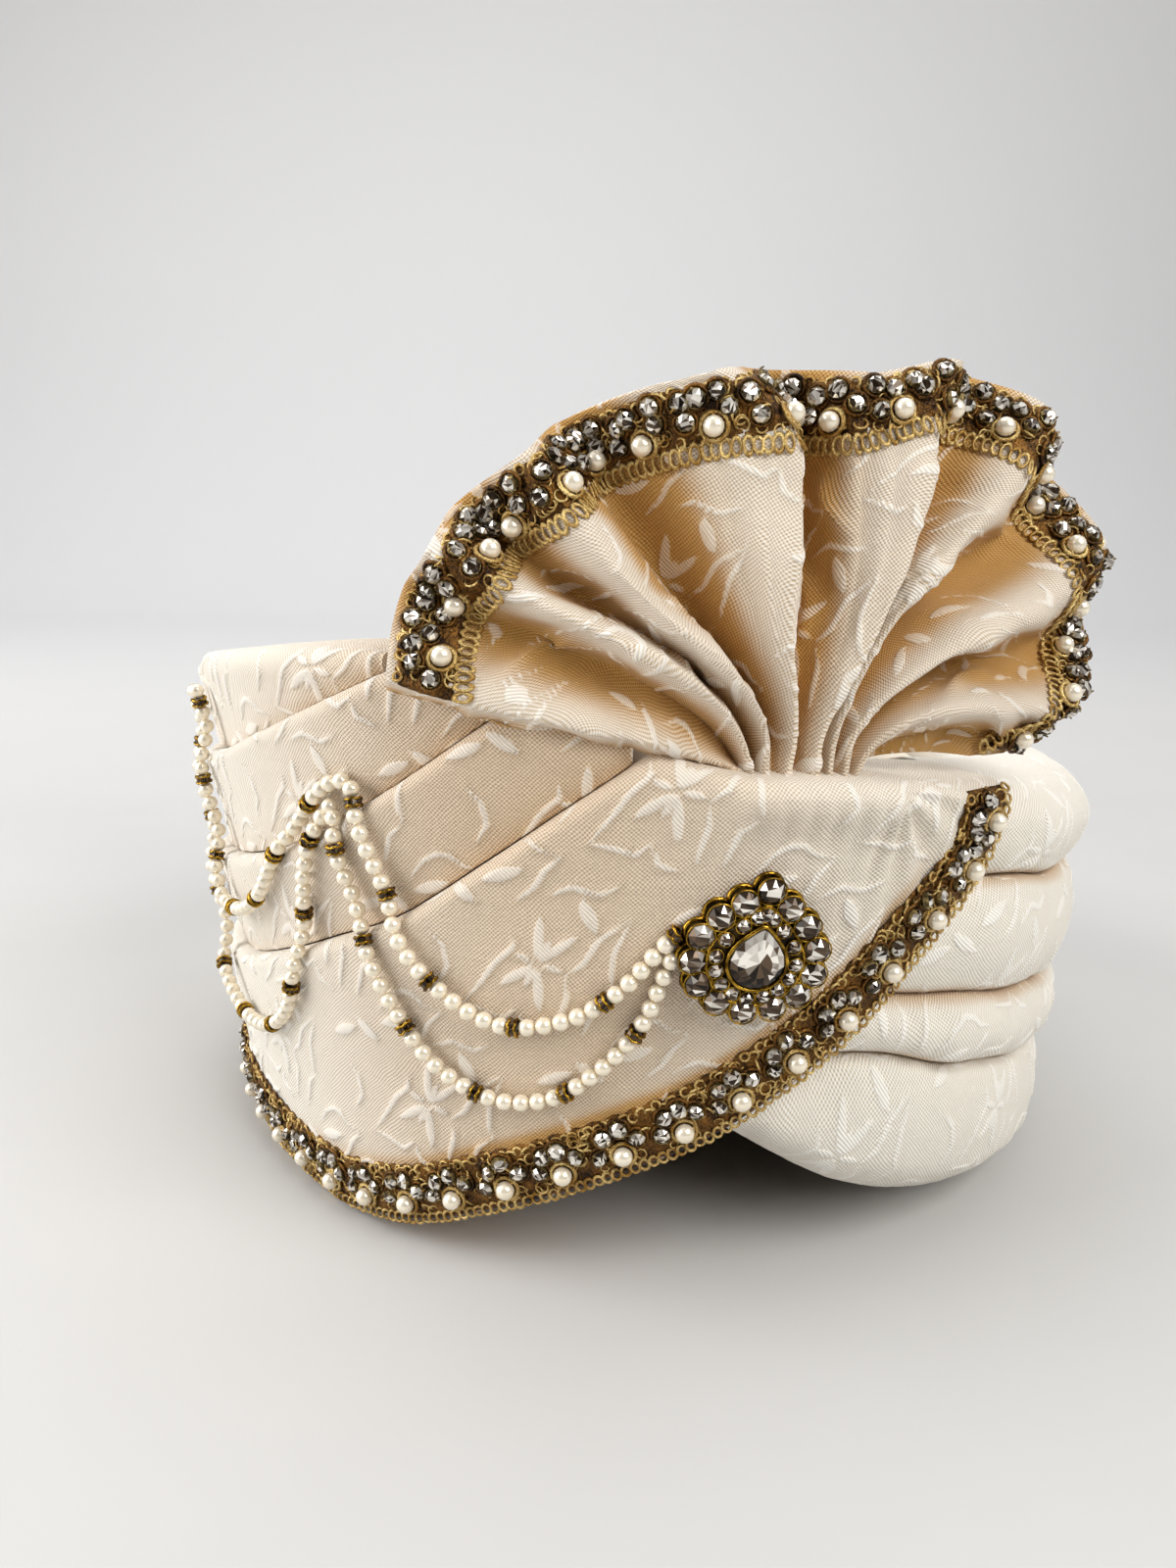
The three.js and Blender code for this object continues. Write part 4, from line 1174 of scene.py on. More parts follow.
def make_fan():
    lines = np.linspace(0, len(FAN) - 1, (len(FAN) - 1) * FAN_STEPS_PER_LINE + 1)[:, None]
    shares = np.linspace(FAN_SUNK, 1, FAN_ROWS)[None, :]
    middle = fan_points(lines, shares)
    normals = grid_normals(middle)
    u, v = fan_layout(middle)
    figure = figure_at(u, v)
    rise = fan_rise(lines, shares)
    loose = smoothstep(shares, *FAN_LOOSE_FROM) * (1 - smoothstep(shares, *FAN_LOOSE_TO))
    crumple = FAN_CRUMPLE * ripples(u * FAN_CRUMPLE_FINER, v * FAN_CRUMPLE_FINER)
    crumple = crumple + FAN_CREASE * creases(u, v) * (1 - smoothstep(rise, *FAN_RIDGE))
    middle = middle + normals * (loose * crumple)[..., None]
    front = middle + normals * (FAN_CLOTH / 2 + FAN_FIGURE * figure_lift(figure))[..., None]
    behind = middle - normals * (FAN_CLOTH / 2)
    points = np.concatenate([front.reshape(-1, 3), behind.reshape(-1, 3)])
    uv = np.stack([u, v], axis=-1).reshape(-1, 2)
    # Painted shade: even over the fan and deeper where the pleats sink; the lowest line gets the yellow hem.
    deep = FAN_PAINTED_SHADE + FAN_VALLEY_PAINTED_SHADE * smoothstep(-rise, *FAN_DEEP)
    deep = np.maximum(deep, FAN_HEM_WARMTH * np.exp(-(lines / FAN_HEM_LINE) ** 2))
    plain = np.full(deep.shape, FAN_PAINTED_SHADE)
    across = np.diff(middle, axis=0)[:, :-1]
    upward = np.diff(middle, axis=1)[:-1]
    area = np.linalg.norm(np.cross(across, upward), axis=-1).sum()
    print("fan cloth area", round(area), "square mm")
    return mesh_piece(
        "fan_cloth", points, sheet_faces(*middle.shape[:2]), JACQUARD, "fan", "jacquard_cloth",
        np.concatenate([uv, uv]), figure=np.stack([figure, figure]), warmth=np.stack([deep, plain]))


FAN_PIECE = make_fan()

# %% [markdown]
# ## Gold, glass and pearl
#
# The metal is gilt brass: a warm yellow mirror, darker in the hollows. The edging is metallic thread, so
# it is rougher and mixed with brown silk. The stones are cut glass with a foil behind. Their reflections
# are painted into the colour: every facet gets its own painted tone between dark, middle and bright, as if
# it mirrored another part of the room. The pearls are glass with a pearly coat, which is a soft ivory under
# a clear gloss.

# %% Jewel materials
# Sizes in mm of the rubbed patches on metal and of the clouds in a pearl's coat.
PATCH_SIZE = 3.85
CLOUD_SIZE = 3.33
TARNISH_FROM = 0.14
TARNISH_TO = 0.4
THREAD_BUMP = 0.8
THREAD_RELIEF = 0.0004
PEARL_TINTS = ("F4E6CA", "FCF4E2")


def thread_material(name, dark, bright, pitch, metallic=0.75, roughness=0.42):
    # Looped or cast metal: small bright spots on a dark ground, because only the tops are rubbed clean.
    material, tree, shader = new_material(name, metallic=metallic, roughness=roughness)
    place = add_node(tree, "ShaderNodeTexCoord", take="Object")
    patch = add_node(tree, "ShaderNodeTexNoise", {
        "Vector": place, "Scale": 1 / (PATCH_SIZE * MM), "Detail": 2.0}, take="Fac")
    thread = add_node(tree, "ShaderNodeTexNoise", {
        "Vector": place, "Scale": 1 / (pitch * MM), "Detail": 3.0}, take="Fac")
    both = add_node(tree, "ShaderNodeMath", {0: patch, 1: thread}, operation="MULTIPLY")
    clean = add_node(tree, "ShaderNodeMapRange", {
        "Value": both, "From Min": TARNISH_FROM, "From Max": TARNISH_TO})
    colour = add_node(tree, "ShaderNodeMix", {
        "Factor": clean, "A": linear(dark), "B": linear(bright)}, **COLOURS)
    bump = add_node(tree, "ShaderNodeBump", {
        "Height": thread, "Strength": THREAD_BUMP, "Distance": THREAD_RELIEF})
    tree.links.new(colour, shader.inputs["Base Color"])
    tree.links.new(bump, shader.inputs["Normal"])
    return material


def painted_reflection_material(name, dark, middle, bright, roughness):
    # Polished glass over foil: each flat facet's colour is a painted reflection, white or dark side by side.
    material, tree, shader = new_material(name, metallic=0.6, roughness=roughness)
    tone = add_node(tree, "ShaderNodeAttribute", take="Fac", attribute_name="facet")
    lower = add_node(tree, "ShaderNodeMapRange", {"Value": tone, "From Max": 0.5})
    upper = add_node(tree, "ShaderNodeMapRange", {"Value": tone, "From Min": 0.5})
    shaded = add_node(tree, "ShaderNodeMix", {
        "Factor": lower, "A": linear(dark), "B": linear(middle)}, **COLOURS)
    colour = add_node(tree, "ShaderNodeMix", {"Factor": upper, "A": shaded, "B": linear(bright)}, **COLOURS)
    tree.links.new(colour, shader.inputs["Base Color"])
    return material


def pearl_material():
    # Coated glass: a soft glow from the pearly layer and one sharp highlight from the clear coat.
    material, tree, shader = new_material("ivory_glass_pearl_coated", metallic=0.38, roughness=0.26,
                                          coat_weight=0.8, coat_roughness=0.06)
    place = add_node(tree, "ShaderNodeTexCoord", take="Object")
    cloudy = add_node(tree, "ShaderNodeTexNoise", {
        "Vector": place, "Scale": 1 / (CLOUD_SIZE * MM), "Detail": 2.0}, take="Fac")
    first, second = PEARL_TINTS
    tint = add_node(tree, "ShaderNodeMix", {
        "Factor": cloudy, "A": linear(first), "B": linear(second)}, **COLOURS)
    tree.links.new(tint, shader.inputs["Base Color"])
    return material


LACE = thread_material("antique_gold_thread_lace_looped", "1C0F05", "8C6026", 0.5)
GOLD_THREAD = thread_material("bright_gold_thread_chain_looped", "966A20", "F8DE98", 0.35)
CLAW_METAL = thread_material("antique_brass_claws_stamped", "2E2414", "A8925E", 0.8)
GILT = thread_material("gilt_brass_cast_polished", "4E360C", "D2A63C", 1.6, metallic=1.0, roughness=0.2)
BROOCH_BACK = thread_material("darkened_brass_cast", "140E06", "5E4A24", 1.6)
# Dark, middle and bright colours of the painted reflections on a stone's facets.
CRYSTAL = painted_reflection_material("foiled_glass_with_painted_reflections", "1C1610", "62503E", "FBF6EC", 0.04)
DARK_GLASS = painted_reflection_material("dark_glass_with_painted_reflections", "0E0A06", "32261A", "6A5438", 0.08)
PEARL_COAT = pearl_material()
print("materials", [material.name for material in bpy.data.materials])

# %% [markdown]
# ## Jewels, each modelled once
#
# A cut stone starts as an eight-sided cone stub: its small end is the table, and turning that end by half
# a side makes the ring of triangular facets. A claw cup, a drilled pearl, a thread ring and a rondelle are
# modelled the same way, by hand operations at the origin. Each is kept as points and faces and then
# copied to its many places, so that a whole edging is one mesh.


# %% Modelling helpers
def start_fresh():
    if bpy.context.mode != "OBJECT":
        bpy.ops.object.mode_set(mode="OBJECT")
    bpy.ops.object.select_all(action="DESELECT")


def pick(test):
    bpy.ops.object.mode_set(mode="EDIT")
    bpy.ops.mesh.select_all(action="DESELECT")
    bpy.ops.object.mode_set(mode="OBJECT")
    for face in bpy.context.object.data.polygons:
        face.select = test(face)
    bpy.ops.object.mode_set(mode="EDIT")


def take_shape():
    start_fresh()
    piece = bpy.context.view_layer.objects.active
    mesh = piece.data
    points = np.array([piece.matrix_world @ vertex.co for vertex in mesh.vertices])
    faces = [list(face.vertices) for face in mesh.polygons]
    bpy.data.objects.remove(piece)
    bpy.data.meshes.remove(mesh)
    return points, faces


def join_shapes(*shapes):
    points, faces, first = [], [], 0
    for shape_points, shape_faces in shapes:
        points.append(shape_points)
        faces += [[first + k for k in face] for face in shape_faces]
        first += len(shape_points)
    return np.concatenate(points), faces


# %% Cut stone and claw cup
# Sizes are shares of the stone's radius.
STONE_SIDES = 8
STONE_TABLE = 0.56
STONE_CROWN = 0.44
STONE_BACK = 0.35
STONE_BACK_SHARE = 0.75
CUP_SIDES = 12
CUP_RADIUS = 1.06
CUP_DEPTH = 0.6
CUP_MIDDLE = -0.34
CUP_WALL = 0.2
CUP_HOLLOW = 0.25
CUP_FOOT_SHARE = 0.8
CLAWS = 4
CLAW_SIDES = 5
CLAW_RADII = (0.17, 0.08)
CLAW_LENGTH = 0.6
CLAW_AWAY = 0.98
CLAW_MIDDLE = 0.06
# A face whose normal has a larger z than this is an end of the primitive.
END_FACE = 0.9


def cut_stone():
    start_fresh()
    bpy.ops.mesh.primitive_cone_add(vertices=STONE_SIDES, radius1=1, radius2=STONE_TABLE, depth=STONE_CROWN,
                                    location=(0, 0, STONE_CROWN / 2))
    pick(lambda face: face.normal.z > END_FACE)
    bpy.ops.transform.rotate(value=math.pi / STONE_SIDES, orient_axis="Z", center_override=(0, 0, 0))
    pick(lambda face: abs(face.normal.z) < END_FACE)
    bpy.ops.mesh.quads_convert_to_tris(quad_method="SHORTEST_DIAGONAL")
    pick(lambda face: face.normal.z < -END_FACE)
    bpy.ops.mesh.extrude_region_move(TRANSFORM_OT_translate={"value": (0, 0, -STONE_BACK)})
    bpy.ops.transform.resize(value=(STONE_BACK_SHARE, STONE_BACK_SHARE, 1))
    return take_shape()


def claw_cup():
    start_fresh()
    bpy.ops.mesh.primitive_cylinder_add(vertices=CUP_SIDES, radius=CUP_RADIUS, depth=CUP_DEPTH,
                                        location=(0, 0, CUP_MIDDLE))
    pick(lambda face: face.normal.z > END_FACE)
    bpy.ops.mesh.inset(thickness=CUP_WALL)
    bpy.ops.mesh.extrude_region_move(TRANSFORM_OT_translate={"value": (0, 0, -CUP_HOLLOW)})
    pick(lambda face: face.normal.z < -END_FACE)
    bpy.ops.transform.resize(value=(CUP_FOOT_SHARE, CUP_FOOT_SHARE, 1))
    shapes = [take_shape()]
    thick, thin = CLAW_RADII
    for i in range(CLAWS):
        turn = 2 * math.pi * (i + 0.5) / CLAWS
        start_fresh()
        bpy.ops.mesh.primitive_cone_add(
            vertices=CLAW_SIDES, radius1=thick, radius2=thin, depth=CLAW_LENGTH,
            location=(CLAW_AWAY * math.cos(turn), CLAW_AWAY * math.sin(turn), CLAW_MIDDLE))
        shapes.append(take_shape())
    return join_shapes(*shapes)


STONE_SHAPE = cut_stone()
CUP_SHAPE = claw_cup()
print("stone faces", len(STONE_SHAPE[1]), "cup faces", len(CUP_SHAPE[1]))

# %% Pearl and thread ring
PEARL_SEGMENTS = 14
PEARL_RINGS = 9
PEARL_HOLE_FROM = 0.93
PEARL_HOLE = (0.9, 0.9, 0.985)
WRAP_DEPTH = 0.12


def drilled_pearl():
    start_fresh()
    bpy.ops.mesh.primitive_uv_sphere_add(segments=PEARL_SEGMENTS, ring_count=PEARL_RINGS, radius=1)
    pick(lambda face: abs(face.center.z) > PEARL_HOLE_FROM)
    bpy.ops.transform.resize(value=PEARL_HOLE)
    return take_shape()


def thread_ring(thick, segments, sides, wraps):
    start_fresh()
    bpy.ops.mesh.primitive_torus_add(major_segments=segments, minor_segments=sides, major_radius=1,
                                     minor_radius=thick)
    points, faces = take_shape()
    turn = np.arctan2(points[:, 1], points[:, 0])
    points[:, 2] *= 1 + WRAP_DEPTH * np.cos(turn * wraps)
    return points, faces


PEARL_SHAPE = drilled_pearl()
RING_SHAPE = thread_ring(0.2, 20, 4, 10)
STONE_RING = thread_ring(0.2, 14, 4, 7)
LOOP_SHAPE = thread_ring(0.34, 12, 4, 4)
CURL_SHAPE = thread_ring(0.2, 10, 4, 4)
print("pearl faces", len(PEARL_SHAPE[1]), "loop faces", len(LOOP_SHAPE[1]))

# %% Rondelle
RONDELLE_HALF = 0.95
RONDELLE_RADIUS = 2.05
FLANGE_WAVES = 6
FLANGE_WAVE_RISE = 0.16
FLANGE_SEGMENTS = 30
FLANGE_SIDES = 6
FLANGE_IN = 0.3
FLANGE_WIRE = 0.36
FLANGE_FLAT = 0.8
FLANGE_EDGE = 0.22
BAND_SIDES = 12
BAND_IN = 0.25
BAND_SHORTER = 0.5
BAND_FRAME = 0.12


def rondelle_flanges():
    start_fresh()
    bpy.ops.mesh.primitive_torus_add(major_segments=FLANGE_SEGMENTS, minor_segments=FLANGE_SIDES,
                                     major_radius=RONDELLE_RADIUS - FLANGE_IN, minor_radius=FLANGE_WIRE)
    points, faces = take_shape()
    turn = np.arctan2(points[:, 1], points[:, 0])
    edge = RONDELLE_HALF - FLANGE_EDGE + FLANGE_WAVE_RISE * np.cos(turn * FLANGE_WAVES)
    shapes = []
    for side in (-1, 1):
        flange = points.copy()
        flange[:, 2] = flange[:, 2] * FLANGE_FLAT + side * edge
        shapes.append((flange, faces))
    return join_shapes(*shapes)


def rondelle_band():
    start_fresh()
    bpy.ops.mesh.primitive_cylinder_add(vertices=BAND_SIDES, radius=RONDELLE_RADIUS - BAND_IN,
                                        depth=2 * RONDELLE_HALF - BAND_SHORTER)
    pick(lambda face: abs(face.normal.z) < END_FACE)
    bpy.ops.mesh.inset(thickness=BAND_FRAME, use_individual=True)
    bpy.ops.mesh.poke()
    return take_shape()


FLANGE_SHAPE = rondelle_flanges()
BAND_SHAPE = rondelle_band()
print("flange faces", len(FLANGE_SHAPE[1]), "band faces", len(BAND_SHAPE[1]))

# %% Copying a jewel to its places
FACET_TONES = np.random.default_rng(11)
# Share of facets with a dark painted reflection, by the kind of stone.
EDGING_DARK_REFLECTIONS = 0.4
BROOCH_DARK_REFLECTIONS = 0.65
BAND_DARK_REFLECTIONS = 0.5
DARK_SPREAD = 0.9
BRIGHT_FROM = 0.55


def paint_facet_light(piece, tones):
    layer = piece.data.attributes.new("facet", "FLOAT", "FACE")
    layer.data.foreach_set("value", tones.astype(np.float32))


def stamp(name, shape, origins, axes, material, slot, node=None, smooth=True, dark_reflections=None):
    points, faces = shape
    placed = np.asarray(origins)[:, None, :] + np.einsum("pk,nkc->npc", points, np.asarray(axes))
    step = len(points)
    all_faces = [[k + n * step for k in face] for n in range(len(origins)) for face in faces]
    piece = mesh_piece(name, placed.reshape(-1, 3), all_faces, material, node, slot, smooth=smooth)
    if dark_reflections:
        # Each facet gets a random painted reflection: dark below the share, bright above it.
        tones = FACET_TONES.random(len(all_faces))
        bright = np.sqrt(np.abs((tones - dark_reflections) / (1 - dark_reflections)))
        bright = BRIGHT_FROM + (1 - BRIGHT_FROM) * bright
        paint_facet_light(piece, np.where(tones < dark_reflections, tones * DARK_SPREAD, bright))


def standing_axes(normal, forward, radius, twist=0.0):
    # Three axes for each copy: z along its normal and x as near to forward as it can be.
    normal = unit_rows(np.asarray(normal, float))
    side = unit_rows(np.cross(normal, forward))
    ahead = np.cross(side, normal)
    first = ahead * np.cos(twist) + side * np.sin(twist)
    second = np.cross(normal, first)
    return np.stack([first, second, normal], axis=-2) * np.reshape(radius, (-1, 1, 1))


# %% [markdown]
# ## Jewelled edging
#
# The same edging is sewn along the fan and along the front panel. It is a brown and gold lace ribbon with
# a chain of gold loops on one edge, a scalloped braid on the other, and curls of thread between them. At
# every repeat there is a pearl in a thread ring, with five claw-set stones round it on the fan and four on
# the panel. A function places any point of the ribbon, given how far it is along and across, on the cloth
# that carries it, so both edgings use one recipe. The stones are set by hand, so each is a little off.

# %% Lace ribbon
EDGING_LIFT = 0.9
EDGING_REPEAT = 13.6
EDGING_STEP = 0.75
EDGING_ROWS = 17
FRAME_STEP = 0.4
SCALLOPS = 3
SCALLOP_DEPTH = 0.8
LACE_MARGIN = 1.0
LACE_UNDER = 0.1
LACE_EDGE = 0.25
# Lumps of the lace: height in mm and waves per mm along and across.
LACE_LUMPS = (0.22, 4.3, 2.1, 3.7)
LACE_RIBS = (0.1, 7.9)


def edging_frames(place, along_mm, across_mm):
    # Where a point of the ribbon lies, the way the ribbon runs there and the way the cloth faces.
    here = place(along_mm, across_mm)
    ahead = unit_rows(place(along_mm + FRAME_STEP, across_mm) - place(along_mm - FRAME_STEP, across_mm))
    inward = unit_rows(place(along_mm, across_mm + FRAME_STEP) - place(along_mm, across_mm - FRAME_STEP))
    return here, ahead, unit_rows(np.cross(ahead, inward))


def make_lace(name, place, length, node, begins):
    steps = np.arange(0, length, EDGING_STEP)[:, None]
    rows = np.linspace(0, 1, EDGING_ROWS)[None, :]
    scallop = SCALLOP_DEPTH * np.abs(np.sin(np.pi * steps / (EDGING_REPEAT / SCALLOPS)))
    across = rows * (EDGING_WIDTH - LACE_MARGIN + scallop - begins) + begins
    steps = np.broadcast_to(steps, across.shape)
    base, _, normal = edging_frames(place, steps, across)
    rise, run, slant, cross = LACE_LUMPS
    lumps = rise * np.sin(steps * run + across * slant) * np.sin(across * cross)
    lumps = lumps + LACE_RIBS[0] * np.sin(steps * LACE_RIBS[1])
    arch = np.sqrt(np.sin(np.pi * rows))
    top = base + normal * (LACE_EDGE + (EDGING_LIFT + lumps) * arch)[..., None]
    under = base + normal * LACE_UNDER
    points = np.concatenate([top.reshape(-1, 3), under.reshape(-1, 3)])
    mesh_piece(name + "_lace", points, sheet_faces(*across.shape), LACE, node, "gold_lace")


# %% Chain, braid and curls
# Loops of the chain: pitch, half width along, half width across, and where the ribbon under them begins.
FAN_LOOPS = (1.9, 0.95, 1.7, 1.8)
PANEL_LOOPS = (2.1, 0.98, 1.2, 0.0)
CHAIN_ACROSS = 0.7
CHAIN_FIRST = 0.8
CHAIN_END = 0.4
CHAIN_LEAN = 0.25
CHAIN_UNEVEN = 0.15
BRAID_PITCH = 1.9
BRAID_RADIUS = 0.95
BRAID_FIRST = 1.2
BRAID_ACROSS = 12.2
BRAID_SWAY = (0.5, 1.7)
BRAID_LIFT = 0.7
BRAID_UNEVEN = 0.3
CURLS_PER_MM = 1.5
CURL_RADII = (0.8, 1.35)
CURL_FROM = 2.6
CURL_TO = 1.6
CURL_LIFT = 0.25
CURL_UNEVEN = 0.45
THREAD_END = 1.0


def make_threads(name, place, length, loops, chance):
    pitch, half_along, half_across, _ = loops
    chain = np.arange(CHAIN_FIRST, length - CHAIN_END, pitch)
    here, ahead, normal = edging_frames(place, chain, np.full(chain.shape, CHAIN_ACROSS))
    lean = unit_rows(normal + CHAIN_LEAN * ahead + chance.normal(0, CHAIN_UNEVEN, normal.shape))
    axes = standing_axes(lean, ahead, 1.0) * np.reshape([half_along, half_across, half_along], (1, 3, 1))
    stamp(name + "_chain", LOOP_SHAPE, here + normal, axes, GOLD_THREAD, "gold_lace")

    braid = np.arange(BRAID_FIRST, length - THREAD_END, BRAID_PITCH)
    sway = BRAID_SWAY[0] * np.sin(braid * BRAID_SWAY[1])
    here, ahead, normal = edging_frames(place, braid, BRAID_ACROSS + sway)
    lean = unit_rows(normal + chance.normal(0, BRAID_UNEVEN, normal.shape))
    axes = standing_axes(lean, ahead, BRAID_RADIUS)
    stamp(name + "_braid", LOOP_SHAPE, here + normal * BRAID_LIFT, axes, GOLD_THREAD, "gold_lace")

    count = int(length * CURLS_PER_MM)
    curl_at = chance.uniform(THREAD_END, length - THREAD_END, count)
    curl_across = chance.uniform(CURL_FROM, EDGING_WIDTH - CURL_TO, count)
    here, ahead, normal = edging_frames(place, curl_at, curl_across)
    lean = unit_rows(normal + chance.normal(0, CURL_UNEVEN, normal.shape))
    axes = standing_axes(lean, ahead, chance.uniform(*CURL_RADII, count))
    lift = EDGING_LIFT + CURL_LIFT
    stamp(name + "_curls", CURL_SHAPE, here + normal * lift, axes, GOLD_THREAD, "gold_lace")


# %% Pearls and claw-set stones
EDGING_PEARL = 2.05
EDGING_PEARL_ACROSS = 5.0
EDGING_PEARL_LIFT = 1.5
PEARL_RING_MARGIN = 0.55
PEARL_RING_LIFT = 0.6
# Columns: along the repeat, up from the chain edge, radius.
EDGING_STONES = (
    (-4.5, 6.4, 1.7),
    (-2.7, 10.0, 1.8),
    (1.3, 10.6, 1.85),
    (4.4, 8.0, 1.75),
    (6.5, 11.5, 1.7),
)
PANEL_STONES = EDGING_STONES[:4]
STONE_END = 1.5
STONE_OFF = 0.35
STONE_TILT = 0.25
STONE_TURN = 3.0
STONE_LIFT = 1.3
STONE_RING_MARGIN = 0.5
STONE_RING_LIFT = 0.45


def make_pearls(name, place, repeats):
    here, ahead, normal = edging_frames(place, repeats, np.full(repeats.shape, EDGING_PEARL_ACROSS))
    axes = standing_axes(normal, ahead, EDGING_PEARL)
    pearls_at = here + normal * (EDGING_LIFT + EDGING_PEARL_LIFT)
    stamp(name + "_pearls", PEARL_SHAPE, pearls_at, axes, PEARL_COAT, "pearl")
    axes = standing_axes(normal, ahead, EDGING_PEARL + PEARL_RING_MARGIN)
    rings_at = here + normal * (EDGING_LIFT + PEARL_RING_LIFT)
    stamp(name + "_pearl_rings", RING_SHAPE, rings_at, axes, GOLD_THREAD, "gold_lace")


def make_stones(name, place, repeats, length, stones, chance):
    spots = [(s + a, b, r) for s in repeats for a, b, r in stones if STONE_END < s + a < length - STONE_END]
    along_mm, across_mm, radius = np.array(spots).T
    along_mm = along_mm + chance.uniform(-STONE_OFF, STONE_OFF, len(spots))
    across_mm = across_mm + chance.uniform(-STONE_OFF, STONE_OFF, len(spots))
    here, ahead, normal = edging_frames(place, along_mm, across_mm)
    tilt = unit_rows(normal + chance.normal(0, STONE_TILT, normal.shape))
    axes = standing_axes(tilt, ahead, radius, chance.uniform(0, STONE_TURN, (len(spots), 1)))
    stones_at = here + normal * (EDGING_LIFT + STONE_LIFT)
    stamp(name + "_stones", STONE_SHAPE, stones_at, axes, CRYSTAL, "crystal", smooth=False,
          dark_reflections=EDGING_DARK_REFLECTIONS)
    stamp(name + "_claws", CUP_SHAPE, stones_at, axes, CLAW_METAL, "gilt_metal", smooth=False)
    axes = standing_axes(normal, ahead, radius + STONE_RING_MARGIN)
    rings_at = here + normal * (EDGING_LIFT + STONE_RING_LIFT)
    stamp(name + "_stone_threads", STONE_RING, rings_at, axes, LACE, "gold_lace")
    print(name, round(length), "mm,", len(repeats), "pearls,", len(spots), "stones")


def make_edging(name, place, length, node, loops, stones):
    chance = np.random.default_rng(5)
    repeat = length / round(length / EDGING_REPEAT)
    repeats = np.arange(repeat / 2, length, repeat)
    make_lace(name, place, length, node, loops[-1])
    make_threads(name, place, length, loops, chance)
    make_pearls(name, place, repeats)
    make_stones(name, place, repeats, length, stones, chance)


# %% Edging on the fan
FAN_HEM = 0.8
FAN_EDGING_LINES = (0.9, len(FAN) - 1.5)
FAN_EDGING_SAMPLES = 900


def fan_edging_place():
    lines = np.linspace(*FAN_EDGING_LINES, FAN_EDGING_SAMPLES)
    gone = lengths_along(fan_points(lines, 1 - (FAN_HEM + EDGING_WIDTH / 2) / fan_reach(lines)), 0)

    def place(along_mm, across_mm):
        line = np.interp(along_mm, gone, lines)
        return fan_points(line, 1 - (FAN_HEM + EDGING_WIDTH - across_mm) / fan_reach(line))

    return place, gone[-1]


place_on_fan, fan_edging_length = fan_edging_place()
make_edging("fan_edging", place_on_fan, fan_edging_length, "fan_trim", FAN_LOOPS, EDGING_STONES)

# %% Edging on the front panel
PANEL_EDGING_START = 240.0
PANEL_EDGING_END = 385.5
PANEL_EDGING_STEP = 0.5
PANEL_EDGING_TOP = ((386.6, 97.0), (386.9, 104.0), (387.0, 110.5))
PANEL_EDGING_SAMPLES = 700
PANEL_EDGING_SOFT = 15
PANEL_HEM_LOWEST = 1.5
PANEL_STANDS_OUT = 8.0


def running_mean(values, count):
    return np.convolve(np.pad(values, count // 2, "edge"), np.ones(count) / count, "valid")


def on_panel(direction, height):
    direction = np.minimum(direction, HEM_END)
    return body_points(direction, fold_offset("front_fold", direction, height), height)


def panel_edging_place():
    directions = np.arange(PANEL_EDGING_START, PANEL_EDGING_END, PANEL_EDGING_STEP)
    hem = np.stack([directions, np.maximum(winding("rim", directions), PANEL_HEM_LOWEST)], axis=-1)
    hem = np.concatenate([hem, PANEL_EDGING_TOP])
    gone = lengths_along(on_panel(hem[:, 0], hem[:, 1]), 0)
    fine = np.linspace(0, gone[-1], PANEL_EDGING_SAMPLES)
    direction, height = (running_mean(np.interp(fine, gone, column), PANEL_EDGING_SOFT) for column in hem.T)
    length = lengths_along(on_panel(direction, height), 0)
    turn = np.radians(direction)
    half_wide = HALF_WIDTH + PANEL_STANDS_OUT
    half_deep = HALF_DEPTH + PANEL_STANDS_OUT
    wide = np.hypot(half_wide * np.cos(turn), half_deep * np.sin(turn))
    mm_per_degree = wide * math.pi / 180
    run = unit_rows(np.stack([np.gradient(direction) * mm_per_degree, np.gradient(height)], axis=-1))
    route = (direction, height, mm_per_degree, run[:, 0], run[:, 1])

    def place(along_mm, across_mm):
        around, high, mm, ahead, up = (np.interp(along_mm, length, values) for values in route)
        return on_panel(around - up * across_mm / mm, high + ahead * across_mm)

    return place, length[-1]


place_on_panel, panel_edging_length = panel_edging_place()
make_edging("panel_edging", place_on_panel, panel_edging_length, "wrap_trim", PANEL_LOOPS, PANEL_STONES)

# %% [markdown]
# ## Brooch
#
# The brooch is a cast gilt setting on a darkened back: a scalloped plate with fourteen large stones
# standing on it, a raised drop-shaped step with sixteen small stones, and a big drop-shaped stone in a
# bezel. All of it is laid out in the brooch's own plane, as wires and plates along outlines, and then
# stood on the cloth.

# %% Brooch plane
BROOCH_DIRECTION = 360.4
BROOCH_HEIGHT = 81.3
BROOCH_LEAN = math.radians(-8.5)
BROOCH_STAND_OFF = 1.0
DROP_SHIFT = -1.6
DROP_HALF_WIDTH = 5.4
DROP_BELOW = 5.4
DROP_ABOVE = 7.0
DROP_TAPER = 0.58


def brooch_axes():
    offset = cloth_offset(np.array(BROOCH_DIRECTION), np.array(BROOCH_HEIGHT)) + BROOCH_STAND_OFF
    origin = body_points(BROOCH_DIRECTION, offset, BROOCH_HEIGHT)
    up = unit([0, -FLARE, 1])
    right = np.array([1.0, 0, 0])
    out = np.cross(right, up)
    lean_right = right * math.cos(BROOCH_LEAN) + up * math.sin(BROOCH_LEAN)
    lean_up = np.cross(out, lean_right)
    return origin, np.stack([lean_right, lean_up, out])


BROOCH_ORIGIN, BROOCH_AXES = brooch_axes()


def on_brooch(local):
    return BROOCH_ORIGIN + np.asarray(local, float) @ BROOCH_AXES


